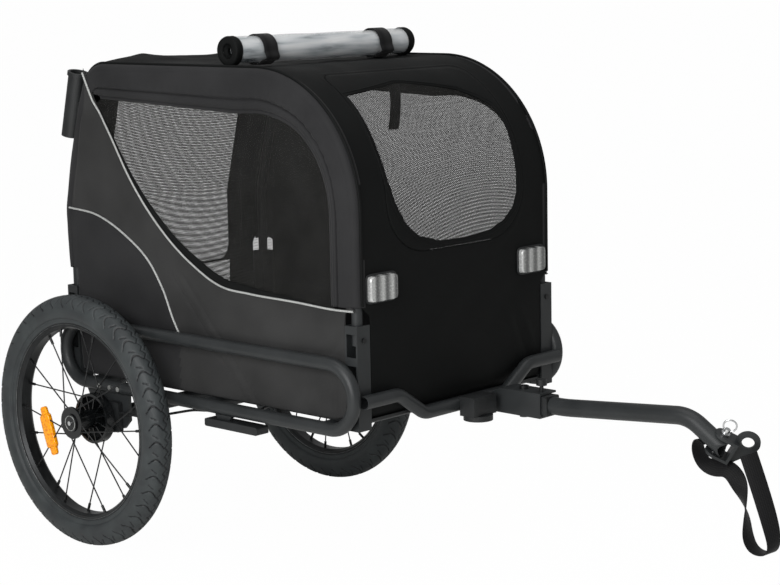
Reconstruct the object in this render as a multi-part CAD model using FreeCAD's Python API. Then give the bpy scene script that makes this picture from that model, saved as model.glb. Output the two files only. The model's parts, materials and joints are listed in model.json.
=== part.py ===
import FreeCAD, Part
import math
import os
from FreeCAD import Placement, Rotation, Vector

# Sizes are in millimetres. X runs forward from the wheel axle, Y to the trailer's left, Z up from the ground.

# Wheels
TYRE_DIAMETER = 400.0
TYRE_HEIGHT = 45.0
TYRE_WIDTH = 44.0
TYRE_WALL = 4.0
TYRE_SHOULDER_DROP = 9.0
TYRE_SHOULDER_WIDTH = 32.0
TYRE_FOOT_RISE = 1.5
TYRE_WIDEST_RISE = 16.0
RIM_WIDTH = 28.0
RIM_DEPTH = 7.0
RIM_FLANGE = 5.0
RIM_WALL = 3.0
RIM_CHAMFER = 5.0
TRACK = 546.0
AXLE_Z = 200.0  # the body's heights are given for this axle height
SPOKES_PER_SIDE = 10
SPOKE_DIAMETER = 2.2
SPOKE_SWEEP_DEG = 38.0
SPOKE_HOLE_INSET = 4.0
NIPPLE_STAGGER = 5.0
NIPPLE_DIAMETER = 4.4
NIPPLE_LENGTH = 13.0

# Hub, measured outwards and inwards from the wheel's middle plane
HUB_OUTER_REACH = 24.5
HUB_INNER_REACH = 30.0
HUB_BARREL_RADIUS = 15.0
HUB_FLANGE_RADIUS = 25.5
HUB_FLANGE_THICKNESS = 4.0
BRAKE_RING_RADIUS = 40.0
BRAKE_RING_WIDTH = 15.0
BRAKE_RING_WALL = 4.0
BRAKE_RING_RIBS = 12
BRAKE_RIB_THICKNESS = 2.0
HUB_AXLE_GAP = 1.0
BEARING_RADIUS = 11.0
BEARING_WIDTH = 7.0
AXLE_RADIUS = 6.0
AXLE_HEAD_RADIUS = 14.5
AXLE_HEAD_THICKNESS = 2.0
AXLE_PAST_LOOP = 42.0
BUTTON_RADIUS = 3.5
BUTTON_LENGTH = 18.0
BUTTON_PROUD = 2.0
BUTTON_TRAVEL = 4.0
RUNNING_CLEARANCE = 0.05
SMALL_GAP = 0.3
WELD_GAP = 0.02

# Amber spoke reflector
AMBER_LENGTH = 79.0
AMBER_WIDTH = 24.0
AMBER_END_WIDTH = 15.0
AMBER_CORNER = 3.0
AMBER_THICKNESS = 10.0
AMBER_FROM_AXLE = 75.0
AMBER_FROM_MIDDLE = 9.5
AMBER_ANGLE_DEG = 199.0

# Side loops and the tubes between them
FRAME_TUBE_RADIUS = 10.0
FRAME_TUBE_WALL = 1.5
HUB_TO_LOOP = 45.0
LOOP_TOP_Z = 345.0
LOOP_BOTTOM_Z = 250.0
LOOP_REAR_X = -93.0
LOOP_FRONT_X = 553.0
CROSS_TUBE_INSET = 14.0
CROSS_TUBE_MIDDLE_X = 240.0
RAIL_BOLT_RADIUS = 4.0
RAIL_BOLT_PROUD = 2.0
RAIL_BOLT_XS = (0.0, 26.0, 46.0)
BUMPER_HIGH_Z = 294.0
BUMPER_LOW_Z = 258.0
BUMPER_HIGH_Y = 146.0
BUMPER_LOW_Y = 92.0
BUMPER_BEND = 32.0

# Corner posts and hoops
POST_X = 24.0
POST_Y = 26.0
POST_WALL = 2.5
POST_BOTTOM_Z = 250.0
POST_ABOVE_PIVOT = 21.0
WINDOW_ABOVE_PIVOT = 9.0
WINDOW_BELOW_PIVOT = 24.0
WINDOW_WIDTH = 18.0
LOWER_WINDOW_TOP = 36.0
LOWER_WINDOW_FOOT = 80.0
HOOP_RADIUS = 8.0
HOOP_WALL = 1.2
HOOP_FRONT_X = 540.0
HOOP_REAR_X = -84.0
HOOP_KNEE_Z = 520.0
HOOP_REAR_TOP_X = -26.0
HOOP_TOP_Z = 746.0
HOOP_FRONT_BEND = 190.0
HOOP_REAR_BEND = 40.0
HOOP_KNEE_BEND = 90.0
HOOP_PIVOT_Z = 380.0
LEFT_PIVOT_RISE = 8.0
HOOP_BELOW_PIVOT = 8.0
PIVOT_PIN_RADIUS = 2.5
PIVOT_HEAD_RADIUS = 3.8
PIVOT_HEAD_THICKNESS = 2.0

# Sewn cover
FABRIC = 2.0
MESH = 1.0
WALL_FABRIC = 2.3
FLOOR_THICKNESS = 4.0
WALL_TOP_Z = 388.0
REAR_WALL_TOP_Z = 360.0
PANEL_LOW_Z = 390.0
COVER_CORNER_Z = 428.0
CORNER_CLEARANCE = 2.0
ROOF_FRONT_X = 345.0
SIDE_WINDOW_TOP_Z = 694.0
SIDE_WINDOW_LOW_Z = 436.0
SIDE_WINDOW_REAR_X = 15.0
SIDE_WINDOW_FOOT_X = 290.0
SIDE_WINDOW_FRONT_X = 500.0
SIDE_WINDOW_BEND = 95.0
SIDE_WINDOW_WAIST_X = 125.0
SIDE_WINDOW_WAIST_Z = 535.0
DOOR_INSET = 76.0
DOOR_LOW_Z = 492.0
DOOR_TOP_Z = 738.0
DOOR_CORNER = 80.0
REAR_DOOR_INSET = 63.0
REAR_DOOR_LOW_Z = 400.0
REAR_DOOR_TOP_Z = 700.0
REAR_DOOR_CORNER = 50.0
SEAM_GAP = 0.5
FRONT_REFLECTOR_INSET = 61.0
FRONT_REFLECTOR_Z = 451.0
FRONT_REFLECTOR_WIDTH = 58.0
FRONT_REFLECTOR_HEIGHT = 38.0
FRONT_REFLECTOR_DEPTH = 11.0
FRONT_REFLECTOR_CORNER = 6.0
FRONT_REFLECTOR_EDGE = 2.0

# Handle sockets on the rear legs
SOCKET_LENGTH = 105.0
SOCKET_RADIUS = 15.0
SOCKET_BORE_RADIUS = 12.5
SOCKET_FLOOR = 5.0
SOCKET_RIM_RADIUS = 17.0
SOCKET_RIM_HEIGHT = 6.0
SOCKET_STANDOFF = 33.0
SOCKET_TOP_DROP = 12.0
SOCKET_SADDLE_WIDTH = 12.0
SOCKET_SADDLE_HEIGHT = 56.0
SOCKET_SADDLE_DROP = 20.0

# Rolled rain cover on the roof
ROLL_X = 275.0
ROLL_LENGTH = 386.0
ROLL_RADIUS = 21.0
ROLL_CORE_RADIUS = 13.0
ROLL_STRAP_WIDTH = 28.0
ROLL_STRAP_THICKNESS = 2.0
ROLL_STRAP_Y = 125.0
ROLL_BINDING_WIDTH = 9.0
ROLL_BINDING_PROUD = 0.8

# Parking brake
BRAKE_PIN_RADIUS = 3.0
BRAKE_PIN_X = 31.0
BRAKE_PIN_TRAVEL = 10.0
BRAKE_PIN_LENGTH = 34.0
BRAKE_BLOCK_X = (16.0, 46.0)
BRAKE_BLOCK_Z = (180.0, 228.0)
BRAKE_BLOCK_DEPTH = 9.0
BRACKET_PLATE = 5.0
BRACKET_X = (-40.0, 62.0)
BRACKET_LOW_Z = 186.0
BRACKET_CHAMFER = 14.0
RECEIVER_RADIUS = 11.0
RECEIVER_OUTWARDS = 12.0
RECEIVER_INWARDS = 38.0
PEDAL_PIVOT_X = 282.0
PEDAL_PIVOT_Z = 228.5
PEDAL_X = (250.0, 364.0)
PEDAL_Z = (221.5, 233.5)
PEDAL_WIDTH = 24.0
PEDAL_LUG_THICKNESS = 6.0
PEDAL_LUG_LENGTH = 36.0
PEDAL_PIN_RADIUS = 3.0
PEDAL_CORNER = 3.0
PEDAL_SLOT_MARGIN = 4.0
BRAKE_BLOCK_CORNER = 4.0
CABLE_RADIUS = 2.0
CABLE_ABOVE_AXLE = 12.0
CABLE_INSET = 30.0
CABLE_BEND = 30.0
CABLE_END_BEND = 12.0
CABLE_SPACING = 20.0

# Front-wheel socket
FRONT_SOCKET_X = 586.0
FRONT_SOCKET_BORE_RADIUS = 11.0
FRONT_SOCKET_BORE_DEPTH = 26.0
FRONT_SOCKET_COLLAR_RADIUS = 22.0
FRONT_SOCKET_COLLAR_HEIGHT = 8.0
FRONT_SOCKET_WIDTH = 50.0
FRONT_SOCKET_DEPTH = 28.0
FRONT_SOCKET_Z = (243.0, 272.0)

# Tow arm and its bracket
ARM_Y = 56.0
ARM_Z = 259.0
ARM_RADIUS = 13.0
ARM_WALL = 2.0
ARM_PIVOT_X = 628.0
ARM_RISE_X = 705.0
ARM_BEND_X = 921.0
ARM_BEND_Z = 277.0
ARM_DROP_DEG = 33.0
ARM_DROP_LENGTH = 72.0
ARM_RISE_BEND = 300.0
ARM_DROP_BEND = 60.0
ARM_BRACKET_FRONT_X = 672.0
ARM_BRACKET_WALL = 3.0
ARM_BRACKET_HEIGHT = 37.0
ARM_BRACKET_DEPTH = 38.0
ARM_BRACKET_SLOPE = 12.0
ARM_BOLT_RADIUS = 4.0
ARM_BOLT_HEAD_RADIUS = 7.0
ARM_BOLT_HEAD_HEIGHT = 5.0
SLEEVE_X = (642.0, 682.0)
SLEEVE_HALF = 14.6
SLEEVE_CORNER = 3.0
LOCK_X = 661.0
LOCK_PIN_RADIUS = 3.0
LOCK_KNOB_RADIUS = 8.0
LOCK_KNOB_HEIGHT = 9.0
LOCK_TRAVEL = 9.0

# Hitch coupler, in its own frame: forwards, to the left, along the pin
HITCH_SWIVEL_DEG = 34.0
HITCH_PIN_RADIUS = 4.0
HITCH_PIN_ABOVE = 27.0
HITCH_PIN_BELOW = 24.0
HITCH_COLLAR_RADIUS = 6.5
HITCH_COLLAR_HEIGHT = 3.0
HITCH_RING_RADIUS = 9.0
HITCH_RING_WIRE = 1.2
HITCH_EYELET_DROP = 3.0
EAR_THICKNESS = 4.0
EAR_HALF_WIDTH = 13.0
EAR_GAP = 0.4
FORK_WEB_X = 18.0
EYE_FORWARD = 33.0
EYE_UP = 22.0
EYE_RADIUS = 17.0
EYE_HOLE_RADIUS = 8.75
EYE_PLATE = 4.0
EYE_PLATE_SLOPE_DEG = 58.0
EYE_PLATE_FOOT = 10.0

# Safety strap of flat webbing
STRAP_WIDTH = 25.0
STRAP_THICKNESS = 2.0
STRAP_Y = 62.0
STRAP_UNDER_ARM = (16.0, 34.0)
STRAP_ROUTE = ((934.0, 224.0), (956.0, 208.0), (988.0, 212.0), (1011.0, 165.0), (1016.0, 103.5),
               (1058.0, 103.5), (1046.0, 155.0), (1017.0, 225.0))
STRAP_BENDS = (5.0, 10.0, 12.0, 12.0, 24.0, 13.0, 13.0, 30.0)

RIDE_LIFT = TYRE_DIAMETER / 2 - AXLE_Z
RIM_BEAD_RADIUS = TYRE_DIAMETER / 2 - TYRE_HEIGHT
RIM_INNER_RADIUS = RIM_BEAD_RADIUS - RIM_DEPTH
WHEEL_Y = TRACK / 2
LOOP_Y = WHEEL_Y - HUB_TO_LOOP
AXLE_INNER_Y = LOOP_Y - AXLE_PAST_LOOP
RECEIVER_OUTER_Y = LOOP_Y + RECEIVER_OUTWARDS
RECEIVER_INNER_Y = LOOP_Y - RECEIVER_INWARDS
DOOR_HALF_WIDTH = LOOP_Y - DOOR_INSET
REAR_DOOR_HALF_WIDTH = LOOP_Y - REAR_DOOR_INSET
FRONT_REFLECTOR_Y = LOOP_Y - FRONT_REFLECTOR_INSET
LOOP_BEND = (LOOP_TOP_Z - LOOP_BOTTOM_Z) / 2
LOOP_INNER_Y = LOOP_Y - FRAME_TUBE_RADIUS
RAIL_UNDERSIDE_Z = LOOP_BOTTOM_Z - FRAME_TUBE_RADIUS
HOOP_Y = LOOP_INNER_Y - POST_Y / 2
POST_INNER_Y = LOOP_INNER_Y - POST_Y
PANEL_Y = HOOP_Y + HOOP_RADIUS
SKIN_IN = HOOP_RADIUS + SMALL_GAP
SKIN_OUT = SKIN_IN + FABRIC
FRONT_SKIN_X = HOOP_FRONT_X + SKIN_OUT
ROOF_Z = HOOP_TOP_Z + SKIN_OUT
FLOOR_Z = LOOP_BOTTOM_Z + FRAME_TUBE_RADIUS
BUMPER_X = HOOP_FRONT_X + POST_X / 2 + FRAME_TUBE_RADIUS
HUB_FACE_Y = WHEEL_Y + HUB_OUTER_REACH
RING_INNER_Y = WHEEL_Y - HUB_INNER_REACH
AXLE_END_Y = HUB_FACE_Y + SMALL_GAP + AXLE_HEAD_THICKNESS
ROLL_Z = ROOF_Z + ROLL_STRAP_THICKNESS + ROLL_RADIUS


def rod(start, end, radius):
    """Round bar between two points."""
    return Part.makeCylinder(radius, (end - start).Length, start, end - start)


def pipe(start, end, radius, bore):
    """Round tube between two points."""
    return rod(start, end, radius).cut(rod(start, end, bore))


def block(xs, ys, zs):
    """Box between two limits on each axis."""
    return Part.makeBox(xs[1] - xs[0], ys[1] - ys[0], zs[1] - zs[0], Vector(xs[0], ys[0], zs[0]))


def rod_y(x, z, ys, radius):
    """Round bar along Y."""
    return rod(Vector(x, ys[0], z), Vector(x, ys[1], z), radius)


def rod_z(x, y, zs, radius):
    """Round bar along Z."""
    return rod(Vector(x, y, zs[0]), Vector(x, y, zs[1]), radius)


def edges_along(shape, direction):
    """Edges of a shape that start along a direction."""
    return [edge for edge in shape.Edges if abs(edge.tangentAt(0).dot(direction)) > 0.9]


def mirrored(shape):
    """The same shape on the trailer's left."""
    return shape.mirror(Vector(0, 0, 0), Vector(0, 1, 0))


def both_sides(shape):
    return Part.makeCompound([shape, mirrored(shape)])


def bent_edges(points, bends):
    """Straight runs through the points, with a tangent arc of the given radius at each inner point."""
    edges = []
    start = points[0]
    for before, corner, after, bend in zip(points, points[1:], points[2:], bends):
        run_in = (corner - before).normalize()
        run_out = (after - corner).normalize()
        half_turn = run_in.getAngle(run_out) / 2
        reach = bend * math.tan(half_turn)
        inwards = (run_out - run_in).normalize()
        arc_start = corner - run_in * reach
        arc_end = corner + run_out * reach
        arc_middle = corner + inwards * (bend / math.cos(half_turn) - bend)
        edges.append(Part.LineSegment(start, arc_start).toShape())
        edges.append(Part.Arc(arc_start, arc_middle, arc_end).toShape())
        start = arc_end
    edges.append(Part.LineSegment(start, points[-1]).toShape())
    return edges


def bent_bar(points, bends, radius):
    """Round bar bent along the points."""
    path = Part.Wire(bent_edges(points, bends))
    profile = Part.Wire(Part.makeCircle(radius, points[0], points[1] - points[0]))
    return path.makePipeShell([profile], True, True)


def bent_pipe(points, bends, radius, wall):
    return bent_bar(points, bends, radius).cut(bent_bar(points, bends, radius - wall))


def closed_face(edges):
    return Part.Face(Part.Wire(Part.__sortEdges__(edges)))


def polygon_face(points):
    return Part.Face(Part.makePolygon(points + [points[0]]))


def turned(profile, y):
    """Profile of radius and offset points or edges, turned about the wheel axle and set at Y."""
    solid = profile.revolve(Vector(0, 0, 0), Vector(0, 1, 0), 360)
    solid.translate(Vector(0, y, AXLE_Z))
    return solid


def arc_edge(start, middle, end):
    return Part.Arc(Vector(*start, 0), Vector(*middle, 0), Vector(*end, 0)).toShape()


def line_edge(start, end):
    return Part.LineSegment(Vector(*start, 0), Vector(*end, 0)).toShape()


def make_tyre():
    """Rounded tyre section with bead feet that sit between the rim's flanges."""
    foot = RIM_WIDTH / 2 - RIM_WALL - SMALL_GAP
    foot_top = RIM_BEAD_RADIUS + RIM_FLANGE + TYRE_FOOT_RISE
    edges = []
    for thinner in (0.0, TYRE_WALL):
        crown = TYRE_DIAMETER / 2 - thinner
        shoulder = (crown - TYRE_SHOULDER_DROP, (TYRE_SHOULDER_WIDTH - thinner) / 2)
        widest = (foot_top + TYRE_WIDEST_RISE, TYRE_WIDTH / 2 - thinner)
        for sign in (1, -1):
            bead = (RIM_BEAD_RADIUS, sign * (foot - thinner))
            ankle = (foot_top, sign * (foot - thinner))
            edges.append(line_edge(bead, ankle))
            edges.append(arc_edge(ankle, (widest[0], sign * widest[1]), (shoulder[0], sign * shoulder[1])))
        edges.append(arc_edge(shoulder, (crown, 0), (shoulder[0], -shoulder[1])))
    for sign in (1, -1):
        edges.append(line_edge((RIM_BEAD_RADIUS, sign * foot), (RIM_BEAD_RADIUS, sign * (foot - TYRE_WALL))))
    return turned(closed_face(edges), -WHEEL_Y)


def make_rim():
    """Deep alloy rim: a well between two flanges."""
    half = RIM_WIDTH / 2
    well = RIM_BEAD_RADIUS - SMALL_GAP
    top = RIM_BEAD_RADIUS + RIM_FLANGE
    right = [(RIM_INNER_RADIUS, half - RIM_CHAMFER), (well - RIM_WALL, half), (top, half),
             (top, half - RIM_WALL), (well, half - RIM_WALL)]
    outline = right + [(radius, -offset) for radius, offset in reversed(right)]
    return turned(polygon_face([Vector(radius, offset, 0) for radius, offset in outline]), -WHEEL_Y)


def make_hub():
    """Moulded hub: barrel, outer spoke flange and the ribbed ring that the brake pin locks into."""
    outer = -HUB_FACE_Y
    inner = -RING_INNER_Y
    axis = Vector(0, 0, AXLE_Z)
    ring_outer = inner - BRAKE_RING_WIDTH
    hub = rod(axis + Vector(0, outer, 0), axis + Vector(0, inner, 0), HUB_BARREL_RADIUS)
    flange_end = outer + HUB_FLANGE_THICKNESS
    hub = hub.fuse(rod(axis + Vector(0, outer, 0), axis + Vector(0, flange_end, 0), HUB_FLANGE_RADIUS))
    hub = hub.fuse(pipe(axis + Vector(0, ring_outer, 0), axis + Vector(0, inner, 0), BRAKE_RING_RADIUS,
                        BRAKE_RING_RADIUS - BRAKE_RING_WALL))
    rib_reach = BRAKE_RING_RADIUS - BRAKE_RING_WALL / 2
    half_rib = BRAKE_RIB_THICKNESS / 2
    for index in range(BRAKE_RING_RIBS):
        rib = block((0, rib_reach), (ring_outer, inner), (-half_rib, half_rib))
        rib.rotate(Vector(0, 0, 0), Vector(0, 1, 0), (index + 0.5) * 360.0 / BRAKE_RING_RIBS)
        rib.translate(axis)
        hub = hub.fuse(rib)
    hub = hub.cut(rod_y(0, AXLE_Z, (outer, inner), AXLE_RADIUS + HUB_AXLE_GAP))
    for start in (outer, inner - BEARING_WIDTH):
        hub = hub.cut(rod_y(0, AXLE_Z, (start, start + BEARING_WIDTH), BEARING_RADIUS))
    return hub.removeSplitter()


def make_bearings():
    rings = []
    for start in (-HUB_FACE_Y, -RING_INNER_Y - BEARING_WIDTH):
        near = Vector(0, start, AXLE_Z)
        far = Vector(0, start + BEARING_WIDTH, AXLE_Z)
        rings.append(pipe(near, far, BEARING_RADIUS, AXLE_RADIUS + RUNNING_CLEARANCE))
    return Part.makeCompound(rings)


def on_wheel(radius, angle_deg, y):
    """Point at a radius and angle about the axle."""
    angle = math.radians(angle_deg)
    return Vector(radius * math.cos(angle), y, AXLE_Z + radius * math.sin(angle))


def make_spokes():
    """Two rows of crossed spokes, each with its nipple at the rim."""
    flange_mid = -HUB_FACE_Y + HUB_FLANGE_THICKNESS / 2
    ring_mid = -RING_INNER_Y - BRAKE_RING_WIDTH / 2
    rows = ((HUB_FLANGE_RADIUS - SPOKE_HOLE_INSET, flange_mid, -NIPPLE_STAGGER, 0.0),
            (BRAKE_RING_RADIUS - BRAKE_RING_WALL / 2, ring_mid, NIPPLE_STAGGER, 0.5))
    spokes = []
    for hub_radius, hub_y, rim_shift, phase in rows:
        for index in range(SPOKES_PER_SIDE):
            hub_angle = (index + phase) * 360.0 / SPOKES_PER_SIDE
            sweep = SPOKE_SWEEP_DEG if index % 2 else -SPOKE_SWEEP_DEG
            start = on_wheel(hub_radius, hub_angle, hub_y)
            end = on_wheel(RIM_INNER_RADIUS + RIM_WALL / 2, hub_angle + sweep, -WHEEL_Y + rim_shift)
            towards_hub = (start - end).normalize()
            nipple = rod(end, end + towards_hub * NIPPLE_LENGTH, NIPPLE_DIAMETER / 2)
            spokes.append(rod(start, end, SPOKE_DIAMETER / 2).fuse(nipple).removeSplitter())
    return Part.makeCompound(spokes)


def make_amber_reflector():
    """Bowed reflector with narrower ends, clipped across the outer spokes."""
    end = AMBER_LENGTH / 2
    corners = [Vector(x, 0, z) for x, z in ((-AMBER_END_WIDTH / 2, -end), (AMBER_END_WIDTH / 2, -end),
                                            (AMBER_END_WIDTH / 2, end), (-AMBER_END_WIDTH / 2, end))]
    edges = [Part.LineSegment(corners[0], corners[1]).toShape(),
             Part.LineSegment(corners[2], corners[3]).toShape(),
             Part.Arc(corners[1], Vector(AMBER_WIDTH / 2, 0, 0), corners[2]).toShape(),
             Part.Arc(corners[3], Vector(-AMBER_WIDTH / 2, 0, 0), corners[0]).toShape()]
    body = closed_face(edges).extrude(Vector(0, AMBER_THICKNESS, 0))
    body = body.makeFillet(AMBER_CORNER, edges_along(body, Vector(0, 1, 0)))
    body.translate(Vector(AMBER_FROM_AXLE, -WHEEL_Y - AMBER_FROM_MIDDLE - AMBER_THICKNESS, 0))
    body.rotate(Vector(0, 0, 0), Vector(0, 1, 0), -AMBER_ANGLE_DEG)
    body.translate(Vector(0, 0, AXLE_Z))
    return body


def make_axle_pin():
    """Quick-release axle with its round head and a bore for the button."""
    outer = Vector(0, -AXLE_END_Y, AXLE_Z)
    inner = Vector(0, -AXLE_INNER_Y, AXLE_Z)
    head_end = outer + Vector(0, AXLE_HEAD_THICKNESS, 0)
    pin = rod(outer, inner, AXLE_RADIUS).fuse(rod(outer, head_end, AXLE_HEAD_RADIUS))
    bore_end = outer + Vector(0, BUTTON_LENGTH + BUTTON_TRAVEL, 0)
    return pin.cut(rod(outer, bore_end, BUTTON_RADIUS + RUNNING_CLEARANCE)).removeSplitter()


def make_axle_button():
    outer = Vector(0, -AXLE_END_Y - BUTTON_PROUD, AXLE_Z)
    return rod(outer, outer + Vector(0, BUTTON_LENGTH, 0), BUTTON_RADIUS)


def make_side_loop():
    """Racetrack of bent tube on the right-hand side."""
    straight_rear = LOOP_REAR_X + LOOP_BEND
    straight_front = LOOP_FRONT_X - LOOP_BEND
    pieces = []
    for z in (LOOP_TOP_Z, LOOP_BOTTOM_Z):
        start = Vector(straight_rear, -LOOP_Y, z)
        end = Vector(straight_front, -LOOP_Y, z)
        pieces.append(pipe(start, end, FRAME_TUBE_RADIUS, FRAME_TUBE_RADIUS - FRAME_TUBE_WALL))
    middle_z = (LOOP_TOP_Z + LOOP_BOTTOM_Z) / 2
    for x, turn in ((straight_front, 180), (straight_rear, -180)):
        top = Vector(x, -LOOP_Y, LOOP_TOP_Z)
        section = Part.Face([Part.Wire(Part.makeCircle(radius, top, Vector(1, 0, 0)))
                             for radius in (FRAME_TUBE_RADIUS, FRAME_TUBE_RADIUS - FRAME_TUBE_WALL)])
        pieces.append(section.revolve(Vector(x, -LOOP_Y, middle_z), Vector(0, 1, 0), turn))
    return pieces[0].multiFuse(pieces[1:]).removeSplitter()


def bottom_rail(y):
    """A straight bar a weld's gap larger than the bottom rail, to cope what is fixed to it."""
    return rod(Vector(LOOP_REAR_X, y, LOOP_BOTTOM_Z), Vector(LOOP_FRONT_X, y, LOOP_BOTTOM_Z),
               FRAME_TUBE_RADIUS + WELD_GAP)


def make_cross_tubes():
    """Floor tubes, coped to the bottom rails."""
    rear_x = LOOP_REAR_X + LOOP_BEND + CROSS_TUBE_INSET
    front_x = LOOP_FRONT_X - LOOP_BEND - CROSS_TUBE_INSET
    tubes = []
    for x in (rear_x, CROSS_TUBE_MIDDLE_X, front_x):
        tube = pipe(Vector(x, -LOOP_Y, LOOP_BOTTOM_Z), Vector(x, LOOP_Y, LOOP_BOTTOM_Z), FRAME_TUBE_RADIUS,
                    FRAME_TUBE_RADIUS - FRAME_TUBE_WALL)
        for side in (-1, 1):
            tube = tube.cut(bottom_rail(side * LOOP_Y))
        tubes.append(tube)
    return Part.makeCompound(tubes)


def make_bumper():
    """Front tube that dips in the middle to carry the arm bracket and the front-wheel socket."""
    half = [(LOOP_INNER_Y, BUMPER_HIGH_Z), (BUMPER_HIGH_Y, BUMPER_HIGH_Z), (BUMPER_LOW_Y, BUMPER_LOW_Z)]
    points = [Vector(BUMPER_X, -y, z) for y, z in half] + [Vector(BUMPER_X, y, z) for y, z in reversed(half)]
    return bent_pipe(points, [BUMPER_BEND] * 4, FRAME_TUBE_RADIUS, FRAME_TUBE_WALL)


def make_post(x, rise):
    """Right-hand corner channel, open inwards, with a window beside the hoop's foot and one below it."""
    pivot_z = HOOP_PIVOT_Z + rise
    outer_y = -LOOP_INNER_Y
    xs = (x - POST_X / 2, x + POST_X / 2)
    zs = (POST_BOTTOM_Z, pivot_z + POST_ABOVE_PIVOT)
    post = block(xs, (outer_y, outer_y + POST_Y), zs)
    inside = block((xs[0] + POST_WALL, xs[1] - POST_WALL), (outer_y + POST_WALL, outer_y + 2 * POST_Y), zs)
    post = post.cut(inside)
    window = block((x - WINDOW_WIDTH / 2, x + WINDOW_WIDTH / 2), (outer_y - 1, outer_y + POST_WALL + 1),
                   (pivot_z - WINDOW_BELOW_PIVOT, pivot_z + WINDOW_ABOVE_PIVOT))
    lower_window = block((x - WINDOW_WIDTH / 2, x + WINDOW_WIDTH / 2), (outer_y - 1, outer_y + POST_WALL + 1),
                         (pivot_z - LOWER_WINDOW_FOOT, pivot_z - LOWER_WINDOW_TOP))
    pin_hole = rod(Vector(xs[0], -HOOP_Y, pivot_z), Vector(xs[1], -HOOP_Y, pivot_z), PIVOT_PIN_RADIUS)
    return post.cut(window).cut(lower_window).cut(pin_hole)


def make_pivot_pin(x, rise):
    """Screw through a post's two flanges and the hoop's foot, with a flat head at each end."""
    z = HOOP_PIVOT_Z + rise
    ends = (x - POST_X / 2, x + POST_X / 2)
    pin = rod(Vector(ends[0], -HOOP_Y, z), Vector(ends[1], -HOOP_Y, z), PIVOT_PIN_RADIUS)
    for end, outwards in zip(ends, (-1, 1)):
        head_end = Vector(end + outwards * PIVOT_HEAD_THICKNESS, -HOOP_Y, z)
        pin = pin.fuse(rod(Vector(end, -HOOP_Y, z), head_end, PIVOT_HEAD_RADIUS))
    return pin.removeSplitter()


def hoop_outline(y, offset, rear_low, front_low):
    """Corners and bends of the hoop's line at Y, moved outwards by an offset, from rear to front foot."""
    corners = [(HOOP_REAR_X, rear_low), (HOOP_REAR_X, HOOP_KNEE_Z), (HOOP_REAR_TOP_X, HOOP_TOP_Z),
               (HOOP_FRONT_X, HOOP_TOP_Z), (HOOP_FRONT_X, front_low)]
    lines = []
    for (x0, z0), (x1, z1) in zip(corners, corners[1:]):
        length = math.hypot(x1 - x0, z1 - z0)
        direction = ((x1 - x0) / length, (z1 - z0) / length)
        moved = (x0 - direction[1] * offset, z0 + direction[0] * offset)
        lines.append((moved, direction))
    points = [Vector(HOOP_REAR_X - offset, y, rear_low)]
    for ((px, pz), (ux, uz)), ((qx, qz), (wx, wz)) in zip(lines, lines[1:]):
        along = ((qx - px) * wz - (qz - pz) * wx) / (ux * wz - uz * wx)
        points.append(Vector(px + along * ux, y, pz + along * uz))
    points.append(Vector(HOOP_FRONT_X + offset, y, front_low))
    bends = [bend + offset for bend in (HOOP_KNEE_BEND, HOOP_REAR_BEND, HOOP_FRONT_BEND)]
    return points, bends


def make_hoop(rise):
    """Bent hoop of the right side, drilled for its two pivot pins."""
    pivot_z = HOOP_PIVOT_Z + rise
    foot = pivot_z - HOOP_BELOW_PIVOT
    points, bends = hoop_outline(-HOOP_Y, 0.0, foot, foot)
    hoop = bent_pipe(points, bends, HOOP_RADIUS, HOOP_WALL)
    for x in (HOOP_FRONT_X, HOOP_REAR_X):
        hole = rod(Vector(x - POST_X, -HOOP_Y, pivot_z), Vector(x + POST_X, -HOOP_Y, pivot_z),
                   PIVOT_PIN_RADIUS + RUNNING_CLEARANCE)
        hoop = hoop.cut(hole)
    return hoop


def make_skin():
    """Front, roof and rear of the cover as one ribbon round the hoops, from side to side."""
    edges = []
    ends = []
    for offset in (SKIN_IN, SKIN_OUT):
        points, bends = hoop_outline(-PANEL_Y, offset, REAR_WALL_TOP_Z, PANEL_LOW_Z)
        edges += bent_edges(points, bends)
        ends.append((points[0], points[-1]))
    for inner, outer in zip(*ends):
        edges.append(Part.LineSegment(inner, outer).toShape())
    return closed_face(edges).extrude(Vector(0, 2 * PANEL_Y, 0))


def door_gate(half_width, low_z, top_z, corner, xs, inset):
    """Prism along X of a door outline with round lower corners, drawn in by an inset."""
    straight = half_width - corner
    bend = corner - inset
    bend_z = low_z + corner
    gate = block(xs, (-straight, straight), (low_z + inset, top_z - inset))
    gate = gate.fuse(block(xs, (inset - half_width, half_width - inset), (bend_z, top_z - inset)))
    for y in (-straight, straight):
        gate = gate.fuse(rod(Vector(xs[0], y, bend_z), Vector(xs[1], y, bend_z), bend))
    return gate.removeSplitter()


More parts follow.
